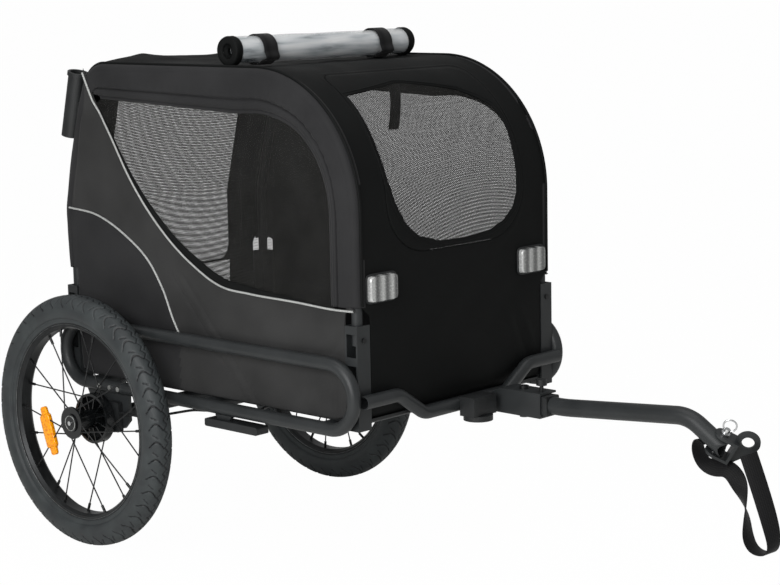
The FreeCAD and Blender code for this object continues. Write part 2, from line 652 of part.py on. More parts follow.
def make_cover():
    """Front panel, roof panel, rear panel and the two mesh doors, cut from one skin."""
    skin = make_skin()
    everywhere = 2000.0
    post_edge = POST_INNER_Y - CORNER_CLEARANCE
    for side in (-1, 1):
        ys = sorted((side * post_edge, side * everywhere))
        front_corner = block((ROOF_FRONT_X, everywhere), ys, (0, COVER_CORNER_Z))
        rear_strip = block((-everywhere, HOOP_REAR_TOP_X), ys, (0, HOOP_TOP_Z - HOOP_REAR_BEND))
        skin = skin.cut(front_corner).cut(rear_strip)
    whole_y = (-everywhere, everywhere)
    front = skin.common(block((ROOF_FRONT_X, everywhere), whole_y, (0, everywhere)))
    back = skin.common(block((-everywhere, ROOF_FRONT_X), whole_y, (0, everywhere)))
    roof_edge_z = HOOP_TOP_Z - HOOP_REAR_BEND
    roof = back.common(block((-everywhere, everywhere), whole_y, (roof_edge_z, everywhere)))
    rear = back.common(block((-everywhere, everywhere), whole_y, (0, roof_edge_z)))
    front_xs = (ROOF_FRONT_X, everywhere)
    rear_xs = (-everywhere, ROOF_FRONT_X)
    front_size = (DOOR_HALF_WIDTH, DOOR_LOW_Z, DOOR_TOP_Z, DOOR_CORNER)
    rear_size = (REAR_DOOR_HALF_WIDTH, REAR_DOOR_LOW_Z, REAR_DOOR_TOP_Z, REAR_DOOR_CORNER)
    return {"roof_panel": roof,
            "front_panel": front.cut(door_gate(*front_size, front_xs, 0.0)),
            "front_door": front.common(door_gate(*front_size, front_xs, SEAM_GAP)),
            "rear_panel": rear.cut(door_gate(*rear_size, rear_xs, 0.0)),
            "rear_door": rear.common(door_gate(*rear_size, rear_xs, SEAM_GAP))}


def side_window_face(y):
    """Mesh window of the side: level top, rounded front corner and a curved rear edge."""
    rear_top = Vector(SIDE_WINDOW_REAR_X, y, SIDE_WINDOW_TOP_Z)
    foot = Vector(SIDE_WINDOW_FOOT_X, y, SIDE_WINDOW_LOW_Z)
    front_top = Vector(SIDE_WINDOW_FRONT_X, y, SIDE_WINDOW_TOP_Z)
    front_low = Vector(SIDE_WINDOW_FRONT_X, y, SIDE_WINDOW_LOW_Z)
    waist = Vector(SIDE_WINDOW_WAIST_X, y, SIDE_WINDOW_WAIST_Z)
    edges = bent_edges([rear_top, front_top, front_low], [SIDE_WINDOW_BEND])
    edges.append(Part.LineSegment(front_low, foot).toShape())
    edges.append(Part.Arc(foot, waist, rear_top).toShape())
    return closed_face(edges)


def make_side_panel(rise):
    """Fabric side above the fold line, with the window cut out and the corners cleared for the posts."""
    low = PANEL_LOW_Z + rise
    outer_y = -PANEL_Y - WALL_FABRIC
    points, bends = hoop_outline(outer_y, 0.0, low, low)
    edges = bent_edges(points, bends)
    edges.append(Part.LineSegment(points[0], points[-1]).toShape())
    panel = closed_face(edges).extrude(Vector(0, WALL_FABRIC, 0))
    clear = POST_X / 2 + CORNER_CLEARANCE
    for x in (HOOP_FRONT_X, HOOP_REAR_X):
        panel = panel.cut(block((x - clear, x + clear), (outer_y - 1, 0), (0, COVER_CORNER_Z)))
    return panel.cut(side_window_face(outer_y - 1).extrude(Vector(0, WALL_FABRIC + 2, 0)))


def make_side_window():
    outer_y = -PANEL_Y - (WALL_FABRIC + MESH) / 2
    return side_window_face(outer_y).extrude(Vector(0, MESH, 0))


def make_tub_walls():
    """The four sewn walls of the tub, below the fold line and between the posts."""
    clear = POST_X / 2 + CORNER_CLEARANCE
    xs = (HOOP_REAR_X + clear, HOOP_FRONT_X - clear)
    walls = []
    for side in (-1, 1):
        ys = sorted((side * PANEL_Y, side * (PANEL_Y + WALL_FABRIC)))
        walls.append(block(xs, ys, (FLOOR_Z, WALL_TOP_Z)))
    ys = (-POST_INNER_Y + CORNER_CLEARANCE, POST_INNER_Y - CORNER_CLEARANCE)
    front_xs = (HOOP_FRONT_X + SKIN_IN, HOOP_FRONT_X + SKIN_OUT)
    rear_xs = (HOOP_REAR_X - SKIN_OUT, HOOP_REAR_X - SKIN_IN)
    walls.append(block(front_xs, ys, (FLOOR_Z, PANEL_LOW_Z)))
    walls.append(block(rear_xs, ys, (FLOOR_Z, REAR_WALL_TOP_Z)))
    return Part.makeCompound(walls)


def make_floor():
    """Floor board on the cross tubes, notched round the posts."""
    board = block((HOOP_REAR_X - SKIN_IN, HOOP_FRONT_X + SKIN_IN), (-PANEL_Y, PANEL_Y),
                  (FLOOR_Z, FLOOR_Z + FLOOR_THICKNESS))
    clear = POST_X / 2 + CORNER_CLEARANCE
    inner = POST_INNER_Y - CORNER_CLEARANCE
    for x in (HOOP_FRONT_X, HOOP_REAR_X):
        for side in (-1, 1):
            ys = sorted((side * inner, side * LOOP_Y))
            board = board.cut(block((x - clear, x + clear), ys, (FLOOR_Z, FLOOR_Z + FLOOR_THICKNESS)))
    return board


def make_front_reflector():
    """Clear lens block with rounded corners on the cover's front."""
    x = FRONT_SKIN_X + SMALL_GAP
    half_y = FRONT_REFLECTOR_WIDTH / 2
    half_z = FRONT_REFLECTOR_HEIGHT / 2
    lens = block((x, x + FRONT_REFLECTOR_DEPTH), (-FRONT_REFLECTOR_Y - half_y, -FRONT_REFLECTOR_Y + half_y),
                 (FRONT_REFLECTOR_Z - half_z, FRONT_REFLECTOR_Z + half_z))
    lens = lens.makeFillet(FRONT_REFLECTOR_CORNER, edges_along(lens, Vector(1, 0, 0)))
    face_edges = [edge for edge in lens.Edges if edge.BoundBox.XMin > x + FRONT_REFLECTOR_DEPTH - 0.01]
    return lens.makeFillet(FRONT_REFLECTOR_EDGE, face_edges)


def rear_leg_direction():
    """Unit vector up the sloping part of the rear leg."""
    return Vector(HOOP_REAR_TOP_X - HOOP_REAR_X, 0, HOOP_TOP_Z - HOOP_KNEE_Z).normalize()


def socket_mouth():
    """Centre of the handle socket's open top, on the right-hand side."""
    up = rear_leg_direction()
    backwards = Vector(-up.z, 0, up.x)
    leg_top = Vector(HOOP_REAR_TOP_X, -HOOP_Y, HOOP_TOP_Z)
    return leg_top - up * SOCKET_TOP_DROP + backwards * SOCKET_STANDOFF


def make_handle_socket():
    """Blind tube for a push handle, held behind the rear leg by a saddle."""
    up = rear_leg_direction()
    mouth = socket_mouth()
    foot = mouth - up * SOCKET_LENGTH
    rim = rod(mouth - up * SOCKET_RIM_HEIGHT, mouth, SOCKET_RIM_RADIUS)
    socket = rod(foot, mouth, SOCKET_RADIUS).fuse(rim)
    middle = (mouth + foot) * 0.5
    forwards = Vector(up.z, 0, -up.x)
    saddle = block((0, SOCKET_STANDOFF), (-SOCKET_SADDLE_WIDTH / 2, SOCKET_SADDLE_WIDTH / 2),
                   (-SOCKET_SADDLE_HEIGHT / 2, SOCKET_SADDLE_HEIGHT / 2))
    saddle.Placement = Placement(middle - up * SOCKET_SADDLE_DROP, Rotation(forwards, Vector(0, 1, 0), up))
    socket = socket.fuse(saddle).cut(rod(foot + up * SOCKET_FLOOR, mouth, SOCKET_BORE_RADIUS))
    leg_low = middle + forwards * SOCKET_STANDOFF - up * SOCKET_LENGTH
    leg_high = middle + forwards * SOCKET_STANDOFF + up * SOCKET_LENGTH
    return socket.cut(rod(leg_low, leg_high, HOOP_RADIUS)).removeSplitter()


def make_roll():
    """Rain cover rolled up across the roof, hollow in the middle."""
    half = ROLL_LENGTH / 2 - ROLL_BINDING_WIDTH
    return pipe(Vector(ROLL_X, -half, ROLL_Z), Vector(ROLL_X, half, ROLL_Z), ROLL_RADIUS, ROLL_CORE_RADIUS)


def make_roll_bindings():
    half = ROLL_LENGTH / 2
    start = Vector(ROLL_X, -half, ROLL_Z)
    binding = pipe(start, start + Vector(0, ROLL_BINDING_WIDTH, 0), ROLL_RADIUS + ROLL_BINDING_PROUD,
                   ROLL_CORE_RADIUS - ROLL_BINDING_PROUD)
    return both_sides(binding)


def make_roll_straps():
    start = Vector(ROLL_X, -ROLL_STRAP_Y - ROLL_STRAP_WIDTH / 2, ROLL_Z)
    end = start + Vector(0, ROLL_STRAP_WIDTH, 0)
    return both_sides(pipe(start, end, ROLL_RADIUS + ROLL_STRAP_THICKNESS, ROLL_RADIUS))


def make_axle_bracket():
    """Plate under the bottom rail with the receiver tube for the axle."""
    plate_y = (-LOOP_Y - BRACKET_PLATE / 2, -LOOP_Y + BRACKET_PLATE / 2)
    rear, front = BRACKET_X
    outline = [(rear, RAIL_UNDERSIDE_Z), (front, RAIL_UNDERSIDE_Z), (front, BRACKET_LOW_Z + BRACKET_CHAMFER),
               (front - BRACKET_CHAMFER, BRACKET_LOW_Z), (-RECEIVER_RADIUS, BRACKET_LOW_Z)]
    plate = polygon_face([Vector(x, plate_y[0], z) for x, z in outline]).extrude(Vector(0, BRACKET_PLATE, 0))
    outer = Vector(0, -RECEIVER_OUTER_Y, AXLE_Z)
    inner = Vector(0, -RECEIVER_INNER_Y, AXLE_Z)
    bracket = plate.fuse(rod(outer, inner, RECEIVER_RADIUS))
    bracket = bracket.cut(rod(outer, inner, AXLE_RADIUS + RUNNING_CLEARANCE))
    pin_hole = rod_y(BRAKE_PIN_X, AXLE_Z, plate_y, BRAKE_PIN_RADIUS + RUNNING_CLEARANCE)
    return bracket.cut(pin_hole).removeSplitter()


def make_rail_bolts():
    """Round bolt heads on the outside of the bottom rail, above the axle bracket."""
    head_y = -LOOP_Y - FRAME_TUBE_RADIUS - RAIL_BOLT_PROUD
    heads = [rod_y(x, LOOP_BOTTOM_Z, (head_y, -LOOP_Y), RAIL_BOLT_RADIUS) for x in RAIL_BOLT_XS]
    return Part.makeCompound([head.cut(bottom_rail(-LOOP_Y)) for head in heads])


def make_brake_block():
    """Brake housing on the bracket's outer face, beside the ribbed ring."""
    inner_y = -LOOP_Y - BRACKET_PLATE / 2
    body = block(BRAKE_BLOCK_X, (inner_y - BRAKE_BLOCK_DEPTH, inner_y), BRAKE_BLOCK_Z)
    body = body.makeFillet(BRAKE_BLOCK_CORNER, edges_along(body, Vector(0, 1, 0)))
    hole_ys = (inner_y - BRAKE_BLOCK_DEPTH, inner_y)
    return body.cut(rod_y(BRAKE_PIN_X, AXLE_Z, hole_ys, BRAKE_PIN_RADIUS + RUNNING_CLEARANCE))


def make_brake_pin():
    outer = Vector(BRAKE_PIN_X, -LOOP_Y - BRACKET_PLATE / 2 - BRAKE_BLOCK_DEPTH, AXLE_Z)
    return rod(outer, outer + Vector(0, BRAKE_PIN_LENGTH, 0), BRAKE_PIN_RADIUS)


def make_pedal_lug():
    """Triangular lug under the right rail that carries the brake pedal."""
    y = -LOOP_Y - PEDAL_LUG_THICKNESS / 2
    half = PEDAL_LUG_LENGTH / 2
    low = PEDAL_PIVOT_Z - 2 * PEDAL_PIN_RADIUS
    outline = [(PEDAL_PIVOT_X - half, RAIL_UNDERSIDE_Z), (PEDAL_PIVOT_X + half, RAIL_UNDERSIDE_Z),
               (PEDAL_PIVOT_X + 2 * PEDAL_PIN_RADIUS, low), (PEDAL_PIVOT_X - 2 * PEDAL_PIN_RADIUS, low)]
    lug = polygon_face([Vector(x, y, z) for x, z in outline]).extrude(Vector(0, PEDAL_LUG_THICKNESS, 0))
    hole_ys = (y, y + PEDAL_LUG_THICKNESS)
    return lug.cut(rod_y(PEDAL_PIVOT_X, PEDAL_PIVOT_Z, hole_ys, PEDAL_PIN_RADIUS + RUNNING_CLEARANCE))


def make_pedal():
    """Rocking brake pedal with a slot over its lug and the pivot pin through both cheeks."""
    half = PEDAL_WIDTH / 2
    ys = (-LOOP_Y - half, -LOOP_Y + half)
    bar = block(PEDAL_X, ys, PEDAL_Z)
    bar = bar.makeFillet(PEDAL_CORNER, edges_along(bar, Vector(0, 1, 0)))
    slot_half = PEDAL_LUG_THICKNESS / 2 + SMALL_GAP
    slot_reach = PEDAL_LUG_LENGTH / 2 + PEDAL_SLOT_MARGIN
    slot_xs = (PEDAL_PIVOT_X - slot_reach, PEDAL_PIVOT_X + slot_reach)
    bar = bar.cut(block(slot_xs, (-LOOP_Y - slot_half, -LOOP_Y + slot_half), PEDAL_Z))
    pin = rod_y(PEDAL_PIVOT_X, PEDAL_PIVOT_Z, ys, PEDAL_PIN_RADIUS)
    return bar.fuse(pin).removeSplitter()


def make_brake_cables():
    """Sheathed cables from the two brake blocks to the pedal's lug, under the floor."""
    block_y = LOOP_Y + BRACKET_PLATE / 2 + BRAKE_BLOCK_DEPTH / 2
    lug_y = -LOOP_Y + PEDAL_LUG_THICKNESS / 2
    low = AXLE_Z + CABLE_ABOVE_AXLE
    high = RAIL_UNDERSIDE_Z - CABLE_RADIUS - SMALL_GAP
    leave_x = BRAKE_BLOCK_X[1] + 2 * CABLE_INSET
    cross_x = leave_x + 2 * CABLE_INSET
    cables = []
    for side, inset in ((-1, CABLE_INSET), (1, 2 * CABLE_INSET)):
        end_x = PEDAL_PIVOT_X + side * CABLE_SPACING / 2
        route = [Vector(BRAKE_BLOCK_X[1], side * block_y, low), Vector(leave_x, side * block_y, low),
                 Vector(cross_x, side * (block_y - 1.5 * inset), (low + high) / 2),
                 Vector(end_x, lug_y + inset, high), Vector(end_x, lug_y, high)]
        cables.append(bent_bar(route, [CABLE_BEND, CABLE_BEND, CABLE_END_BEND], CABLE_RADIUS))
    return Part.makeCompound(cables)


def make_front_socket():
    """Block on the bumper with a blind hole from below for a front wheel's stem."""
    rear = BUMPER_X + FRAME_TUBE_RADIUS
    half = FRONT_SOCKET_WIDTH / 2
    body = block((rear, rear + FRONT_SOCKET_DEPTH), (-half, half), FRONT_SOCKET_Z)
    low = FRONT_SOCKET_Z[0] - FRONT_SOCKET_COLLAR_HEIGHT
    body = body.fuse(rod_z(FRONT_SOCKET_X, 0, (low, FRONT_SOCKET_Z[0]), FRONT_SOCKET_COLLAR_RADIUS))
    return body.cut(rod_z(FRONT_SOCKET_X, 0, (low, low + FRONT_SOCKET_BORE_DEPTH), FRONT_SOCKET_BORE_RADIUS))


def make_arm_bracket():
    """Folded channel in front of the bumper, open on its left so the arm can swing out."""
    rear = BUMPER_X + FRAME_TUBE_RADIUS
    half = ARM_BRACKET_HEIGHT / 2
    wall = ARM_BRACKET_WALL
    right_y = ARM_Y - SLEEVE_HALF - SMALL_GAP - wall
    ys = (right_y, right_y + ARM_BRACKET_DEPTH)
    xs = (rear, ARM_BRACKET_FRONT_X)
    low, high = ARM_Z - half, ARM_Z + half
    channel = block(xs, ys, (low, high))
    channel = channel.cut(block((xs[0] + wall, xs[1]), (ys[0] + wall, ys[1]), (low + wall, high - wall)))
    slope = polygon_face([Vector(xs[0] + x, ys[0], high - z) for x, z in
                          ((0, 0), (2 * ARM_BRACKET_SLOPE, 0), (0, ARM_BRACKET_SLOPE))])
    channel = channel.cut(slope.extrude(Vector(0, ARM_BRACKET_DEPTH, 0)))
    channel = channel.cut(rod_z(ARM_PIVOT_X, ARM_Y, (low, high), ARM_BOLT_RADIUS))
    return channel.cut(rod_z(LOCK_X, ARM_Y, (ARM_Z, high), LOCK_PIN_RADIUS + RUNNING_CLEARANCE))


def make_arm_bolt():
    half = ARM_BRACKET_HEIGHT / 2
    low = Vector(ARM_PIVOT_X, ARM_Y, ARM_Z - half)
    high = Vector(ARM_PIVOT_X, ARM_Y, ARM_Z + half)
    up = Vector(0, 0, ARM_BOLT_HEAD_HEIGHT)
    bolt = rod(low, high, ARM_BOLT_RADIUS).fuse(rod(high, high + up, ARM_BOLT_HEAD_RADIUS))
    return bolt.fuse(rod(low - up, low, ARM_BOLT_HEAD_RADIUS)).removeSplitter()


def arm_points():
    """Corners of the arm's centreline, from the pivot to the hitch end."""
    drop = math.radians(ARM_DROP_DEG)
    bend = Vector(ARM_BEND_X, ARM_Y, ARM_BEND_Z)
    end = bend + Vector(math.cos(drop), 0, -math.sin(drop)) * ARM_DROP_LENGTH
    return [Vector(ARM_PIVOT_X - ARM_RADIUS, ARM_Y, ARM_Z), Vector(ARM_RISE_X, ARM_Y, ARM_Z), bend, end]


def hitch_centre():
    """Middle of the hitch pin: its distance back from the arm's end is the end's own radius."""
    drop = math.radians(ARM_DROP_DEG)
    return arm_points()[-1] - Vector(math.cos(drop), 0, -math.sin(drop)) * ARM_RADIUS


def pin_direction():
    drop = math.radians(ARM_DROP_DEG)
    return Vector(math.sin(drop), 0, math.cos(drop))


def rounded_end(centre, axis, outwards):
    """What is to be cut from a tube so that its end is round about an axis."""
    across = axis.cross(outwards)
    slab = block((0, 2 * ARM_RADIUS), (-2 * ARM_RADIUS, 2 * ARM_RADIUS), (-2 * ARM_RADIUS, 2 * ARM_RADIUS))
    slab.Placement = Placement(centre, Rotation(outwards, across, axis))
    return slab.cut(rod(centre - axis * 3 * ARM_RADIUS, centre + axis * 3 * ARM_RADIUS, ARM_RADIUS))


def make_tow_arm():
    """Bent arm tube with round ends, drilled for the pivot bolt, the lock pin and the hitch pin."""
    points = arm_points()
    arm = bent_pipe(points, [ARM_RISE_BEND, ARM_DROP_BEND], ARM_RADIUS, ARM_WALL)
    pivot = Vector(ARM_PIVOT_X, ARM_Y, ARM_Z)
    up = Vector(0, 0, 1)
    arm = arm.cut(rounded_end(pivot, up, Vector(-1, 0, 0)))
    arm = arm.cut(rounded_end(hitch_centre(), pin_direction(), (points[-1] - points[-2]).normalize()))
    reach = 2 * ARM_RADIUS
    arm = arm.cut(rod(pivot - up * reach, pivot + up * reach, ARM_BOLT_RADIUS + RUNNING_CLEARANCE))
    lock = Vector(LOCK_X, ARM_Y, ARM_Z)
    arm = arm.cut(rod(lock, lock + up * reach, LOCK_PIN_RADIUS + SMALL_GAP))
    hitch = hitch_centre()
    pin = pin_direction() * reach
    return arm.cut(rod(hitch - pin, hitch + pin, HITCH_PIN_RADIUS + RUNNING_CLEARANCE))


def make_sleeve():
    """Square plastic sleeve on the arm where it leaves the bracket."""
    half = SLEEVE_HALF
    sleeve = block(SLEEVE_X, (ARM_Y - half, ARM_Y + half), (ARM_Z - half, ARM_Z + half))
    sleeve = sleeve.makeFillet(SLEEVE_CORNER, edges_along(sleeve, Vector(1, 0, 0)))
    sleeve = sleeve.cut(rod(Vector(SLEEVE_X[0], ARM_Y, ARM_Z), Vector(SLEEVE_X[1], ARM_Y, ARM_Z), ARM_RADIUS))
    lock = Vector(LOCK_X, ARM_Y, ARM_Z)
    return sleeve.cut(rod(lock, lock + Vector(0, 0, 2 * half), LOCK_PIN_RADIUS + SMALL_GAP))


def make_lock_button():
    """Arm lock: a knob on the bracket whose pin presses down into the sleeve and the arm."""
    top = ARM_Z + ARM_BRACKET_HEIGHT / 2
    knob_low = Vector(LOCK_X, ARM_Y, top + LOCK_TRAVEL + SMALL_GAP)
    pin_low = Vector(LOCK_X, ARM_Y, ARM_Z + SLEEVE_HALF + SMALL_GAP)
    button = rod(knob_low, knob_low + Vector(0, 0, LOCK_KNOB_HEIGHT), LOCK_KNOB_RADIUS)
    return button.fuse(rod(pin_low, knob_low, LOCK_PIN_RADIUS)).removeSplitter()


def hitch_placement():
    """Frame of the coupler: forwards, to the left and along the pin."""
    pitch = Rotation(Vector(0, 1, 0), ARM_DROP_DEG)
    swivel = Rotation(Vector(0, 0, 1), HITCH_SWIVEL_DEG)
    return Placement(hitch_centre(), pitch.multiply(swivel))


def make_coupler():
    """Fork with two ears and a web, and the eye plate that stands up from the web."""
    inner = ARM_RADIUS + EAR_GAP
    outer = inner + EAR_THICKNESS
    web_xs = (FORK_WEB_X, FORK_WEB_X + EAR_THICKNESS)
    coupler = block(web_xs, (-EAR_HALF_WIDTH, EAR_HALF_WIDTH), (-outer, outer))
    for zs in ((inner, outer), (-outer, -inner)):
        ear = block((0, web_xs[1]), (-EAR_HALF_WIDTH, EAR_HALF_WIDTH), zs)
        ear = ear.fuse(rod(Vector(0, 0, zs[0]), Vector(0, 0, zs[1]), EAR_HALF_WIDTH))
        coupler = coupler.fuse(ear)
    eye = Vector(EYE_FORWARD, 0, EYE_UP)
    half_plate = Vector(0, EYE_PLATE / 2, 0)
    slope = math.radians(EYE_PLATE_SLOPE_DEG)
    across = Vector(-math.sin(slope), 0, math.cos(slope)) * EYE_RADIUS
    corners = [eye + across, eye - across, Vector(web_xs[0] + EYE_PLATE_FOOT, 0, -outer),
               Vector(web_xs[0], 0, -outer), Vector(web_xs[0], 0, outer)]
    plate = polygon_face([corner - half_plate for corner in corners]).extrude(half_plate * 2)
    plate = plate.fuse(rod(eye - half_plate, eye + half_plate, EYE_RADIUS))
    coupler = coupler.fuse(plate).cut(rod(eye - half_plate, eye + half_plate, EYE_HOLE_RADIUS))
    pin_reach = Vector(0, 0, 2 * outer)
    coupler = coupler.cut(rod(pin_reach * -1, pin_reach, HITCH_PIN_RADIUS + RUNNING_CLEARANCE))
    coupler = coupler.removeSplitter()
    coupler.Placement = hitch_placement()
    return coupler


def make_hitch_pin():
    """Pin through the fork and the arm, with a collar on the upper ear and a pull ring in its top."""
    up = Vector(0, 0, 1)
    low = up * -HITCH_PIN_BELOW
    high = up * HITCH_PIN_ABOVE
    ring_centre = high + up * (HITCH_RING_RADIUS - HITCH_EYELET_DROP)
    ring = Part.makeTorus(HITCH_RING_RADIUS, HITCH_RING_WIRE, ring_centre, Vector(0, 1, 0))
    collar_low = up * (ARM_RADIUS + EAR_GAP + EAR_THICKNESS + SMALL_GAP)
    shank = rod(low, high, HITCH_PIN_RADIUS)
    shank = shank.fuse(rod(collar_low, collar_low + up * HITCH_COLLAR_HEIGHT, HITCH_COLLAR_RADIUS))
    eyelet = rod(high - up * HITCH_EYELET_DROP - Vector(HITCH_PIN_RADIUS, 0, 0),
                 high - up * HITCH_EYELET_DROP + Vector(HITCH_PIN_RADIUS, 0, 0), HITCH_RING_WIRE + SMALL_GAP)
    shank = shank.cut(eyelet)
    pin = Part.makeCompound([shank, ring])
    pin.Placement = hitch_placement()
    return pin


def strap_points():
    """Corners of the strap's centreline: along the arm's underside, round a slack loop, and down and up again."""
    drop = math.radians(ARM_DROP_DEG)
    back = Vector(-math.cos(drop), 0, math.sin(drop))
    depth = pin_direction() * (ARM_RADIUS + SMALL_GAP + STRAP_THICKNESS / 2)
    hidden = [hitch_centre() + back * reach - depth for reach in STRAP_UNDER_ARM]
    return [Vector(x, STRAP_Y - STRAP_WIDTH / 2, z) for x, z in [(p.x, p.z) for p in hidden] + list(STRAP_ROUTE)]


def make_strap():
    """Safety strap: flat webbing fixed under the arm's end, its long loop hanging below the hitch."""
    points = strap_points()
    runs = [(end - start).normalize() for start, end in zip(points, points[1:])]
    runs = [runs[0]] + runs + [runs[-1]]
    half = STRAP_THICKNESS / 2
    edges = []
    ends = []
    for side in (1, -1):
        moved = []
        bends = []
        for point, run_in, run_out in zip(points, runs, runs[1:]):
            normals = Vector(-run_in.z - run_out.z, 0, run_in.x + run_out.x)
            moved.append(point + normals * (side * half / (1 + run_in.dot(run_out))))
            bends.append(side * math.copysign(half, run_in.z * run_out.x - run_in.x * run_out.z))
        edges += bent_edges(moved, [bend + more for bend, more in zip(STRAP_BENDS, bends[1:-1])])
        ends.append((moved[0], moved[-1]))
    edges += [Part.LineSegment(first, second).toShape() for first, second in zip(*ends)]
    strap = closed_face(edges).extrude(Vector(0, STRAP_WIDTH, 0))
    length = sum(edge.Length for edge in bent_edges(points, STRAP_BENDS))
    print("strap length", round(length, 1))
    return strap


def assemble():
    """Every node of the trailer, in the axle's frame."""
    nodes = {}
    loop = make_side_loop()
    nodes["right_side_loop"] = loop
    nodes["left_side_loop"] = mirrored(loop)
    nodes["floor_cross_tubes"] = make_cross_tubes()
    nodes["bumper_tube"] = make_bumper()
    for name, x in (("front", HOOP_FRONT_X), ("rear", HOOP_REAR_X)):
        posts = [make_post(x, 0.0), mirrored(make_post(x, LEFT_PIVOT_RISE))]
        nodes[name + "_posts"] = Part.makeCompound(posts)
    pins = []
    for x in (HOOP_FRONT_X, HOOP_REAR_X):
        pins += [make_pivot_pin(x, 0.0), mirrored(make_pivot_pin(x, LEFT_PIVOT_RISE))]
    nodes["hoop_pivot_pins"] = Part.makeCompound(pins)
    nodes["axle_cross_tube"] = pipe(Vector(0, -RECEIVER_INNER_Y, AXLE_Z), Vector(0, RECEIVER_INNER_Y, AXLE_Z),
                                    RECEIVER_RADIUS, RECEIVER_RADIUS - FRAME_TUBE_WALL)
    nodes["axle_brackets"] = both_sides(make_axle_bracket())
    nodes["rail_bolts"] = both_sides(make_rail_bolts())
    nodes["axle_pins"] = both_sides(make_axle_pin())
    nodes["brake_blocks"] = both_sides(make_brake_block())
    nodes["pedal_lug"] = make_pedal_lug()
    nodes["brake_pedal"] = make_pedal()
    nodes["brake_cables"] = make_brake_cables()
    nodes["floor_board"] = make_floor()
    nodes["tub_walls"] = make_tub_walls()
    nodes.update(make_cover())
    nodes["rain_cover_roll"] = make_roll()
    nodes["rain_cover_bindings"] = make_roll_bindings()
    nodes["rain_cover_straps"] = make_roll_straps()
    nodes["front_wheel_socket"] = make_front_socket()
    nodes["arm_bracket"] = make_arm_bracket()
    nodes["arm_pivot_bolt"] = make_arm_bolt()
    nodes["tow_arm"] = make_tow_arm()
    nodes["arm_sleeve"] = make_sleeve()
    nodes["arm_lock_button"] = make_lock_button()
    nodes["hitch_coupler"] = make_coupler()
    nodes["hitch_pin"] = make_hitch_pin()
    nodes["safety_strap"] = make_strap()
    wheel = {"tyre": make_tyre(), "rim": make_rim(), "hub": make_hub(), "bearings": make_bearings(),
             "spokes": make_spokes(), "spoke_reflector": make_amber_reflector(),
             "axle_button": make_axle_button(), "brake_pin": make_brake_pin()}
    sides = {"right": (0.0, lambda shape: shape), "left": (LEFT_PIVOT_RISE, mirrored)}
    for side, (rise, place) in sides.items():
        for name, shape in wheel.items():
            nodes[side + "_" + name] = place(shape)
        nodes[side + "_hoop"] = place(make_hoop(rise))
        nodes[side + "_side_panel"] = place(make_side_panel(rise))
        nodes[side + "_side_window"] = place(make_side_window())
        nodes[side + "_handle_socket"] = place(make_handle_socket())
        nodes[side + "_front_reflector"] = place(make_front_reflector())
    return nodes


def middle_x(nodes):
    """Half way between the tyres' rear and the hitch eye's tip."""
    return (nodes["hitch_coupler"].BoundBox.XMax - TYRE_DIAMETER / 2) / 2


def main():
    os.makedirs("parts", exist_ok=True)
    nodes = assemble()
    to_middle = Vector(-middle_x(nodes), 0, RIDE_LIFT)
    for name, shape in nodes.items():
        shape.translate(to_middle)
        for solid in shape.Solids:
            if not solid.isValid():
                print("not valid:", name)
        print(name, len(shape.Solids), round(shape.Volume))
        shape.exportStep("parts/" + name + ".step")
    print("nodes", len(nodes), "middle x", round(-to_middle.x, 3))


main()
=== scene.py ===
"""Dresses the solids of a folding dog bike trailer: sewn cover, netting, tyres, trim and studio."""
import json
import math

import bpy
import bmesh
import numpy as np
from mathutils import Matrix, Vector


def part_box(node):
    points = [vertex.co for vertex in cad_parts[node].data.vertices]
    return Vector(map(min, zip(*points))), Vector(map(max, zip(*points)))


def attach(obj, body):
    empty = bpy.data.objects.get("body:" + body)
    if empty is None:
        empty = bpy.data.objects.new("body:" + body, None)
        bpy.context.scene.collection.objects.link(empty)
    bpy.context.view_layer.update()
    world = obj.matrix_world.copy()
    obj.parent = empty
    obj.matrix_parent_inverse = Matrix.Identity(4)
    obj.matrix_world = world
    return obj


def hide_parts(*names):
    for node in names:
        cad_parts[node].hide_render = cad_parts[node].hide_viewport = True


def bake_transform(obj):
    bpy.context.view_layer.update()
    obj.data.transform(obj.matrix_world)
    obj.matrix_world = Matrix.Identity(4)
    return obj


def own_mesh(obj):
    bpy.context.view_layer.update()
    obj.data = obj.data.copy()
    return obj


bl_info = {
    "name": "Dog Bike Trailer",
    "version": (1, 0, 0),
    "blender": (4, 5, 0),
    "location": "View3D > Sidebar > Trailer",
    "description": "Builds the cover, wheels, trim and studio of a folding dog bike trailer",
    "category": "Object",
}

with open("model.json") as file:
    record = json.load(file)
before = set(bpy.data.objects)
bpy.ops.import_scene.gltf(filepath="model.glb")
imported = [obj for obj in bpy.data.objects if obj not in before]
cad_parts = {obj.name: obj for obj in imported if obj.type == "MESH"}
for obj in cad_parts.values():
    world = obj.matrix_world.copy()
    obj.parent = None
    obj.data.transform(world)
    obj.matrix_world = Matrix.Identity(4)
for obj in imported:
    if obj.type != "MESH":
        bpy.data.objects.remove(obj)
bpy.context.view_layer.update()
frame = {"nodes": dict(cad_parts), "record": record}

# AXLE_X and PIVOT_Z are in metres, the other lengths of this block in millimetres; AXLE is forward and up
TYRE_LOW, TYRE_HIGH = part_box("right_tyre")
AXLE_X = (TYRE_LOW.x + TYRE_HIGH.x) / 2
AXLE = (0.0, 200.0)
WHEEL_Y = -(TYRE_LOW.y + TYRE_HIGH.y) / 2 * 1000
# Across to a hoop's middle line, from there out to the cloth, and the cloth's run round a quarter turn
HOOP_Y = 205.0
WRAP = 10.6
SIDE_Y = HOOP_Y + WRAP
QUARTER = WRAP * math.pi / 2
SIDES = (("right", -1.0), ("left", 1.0))
ACROSS = (0, 1, 0)

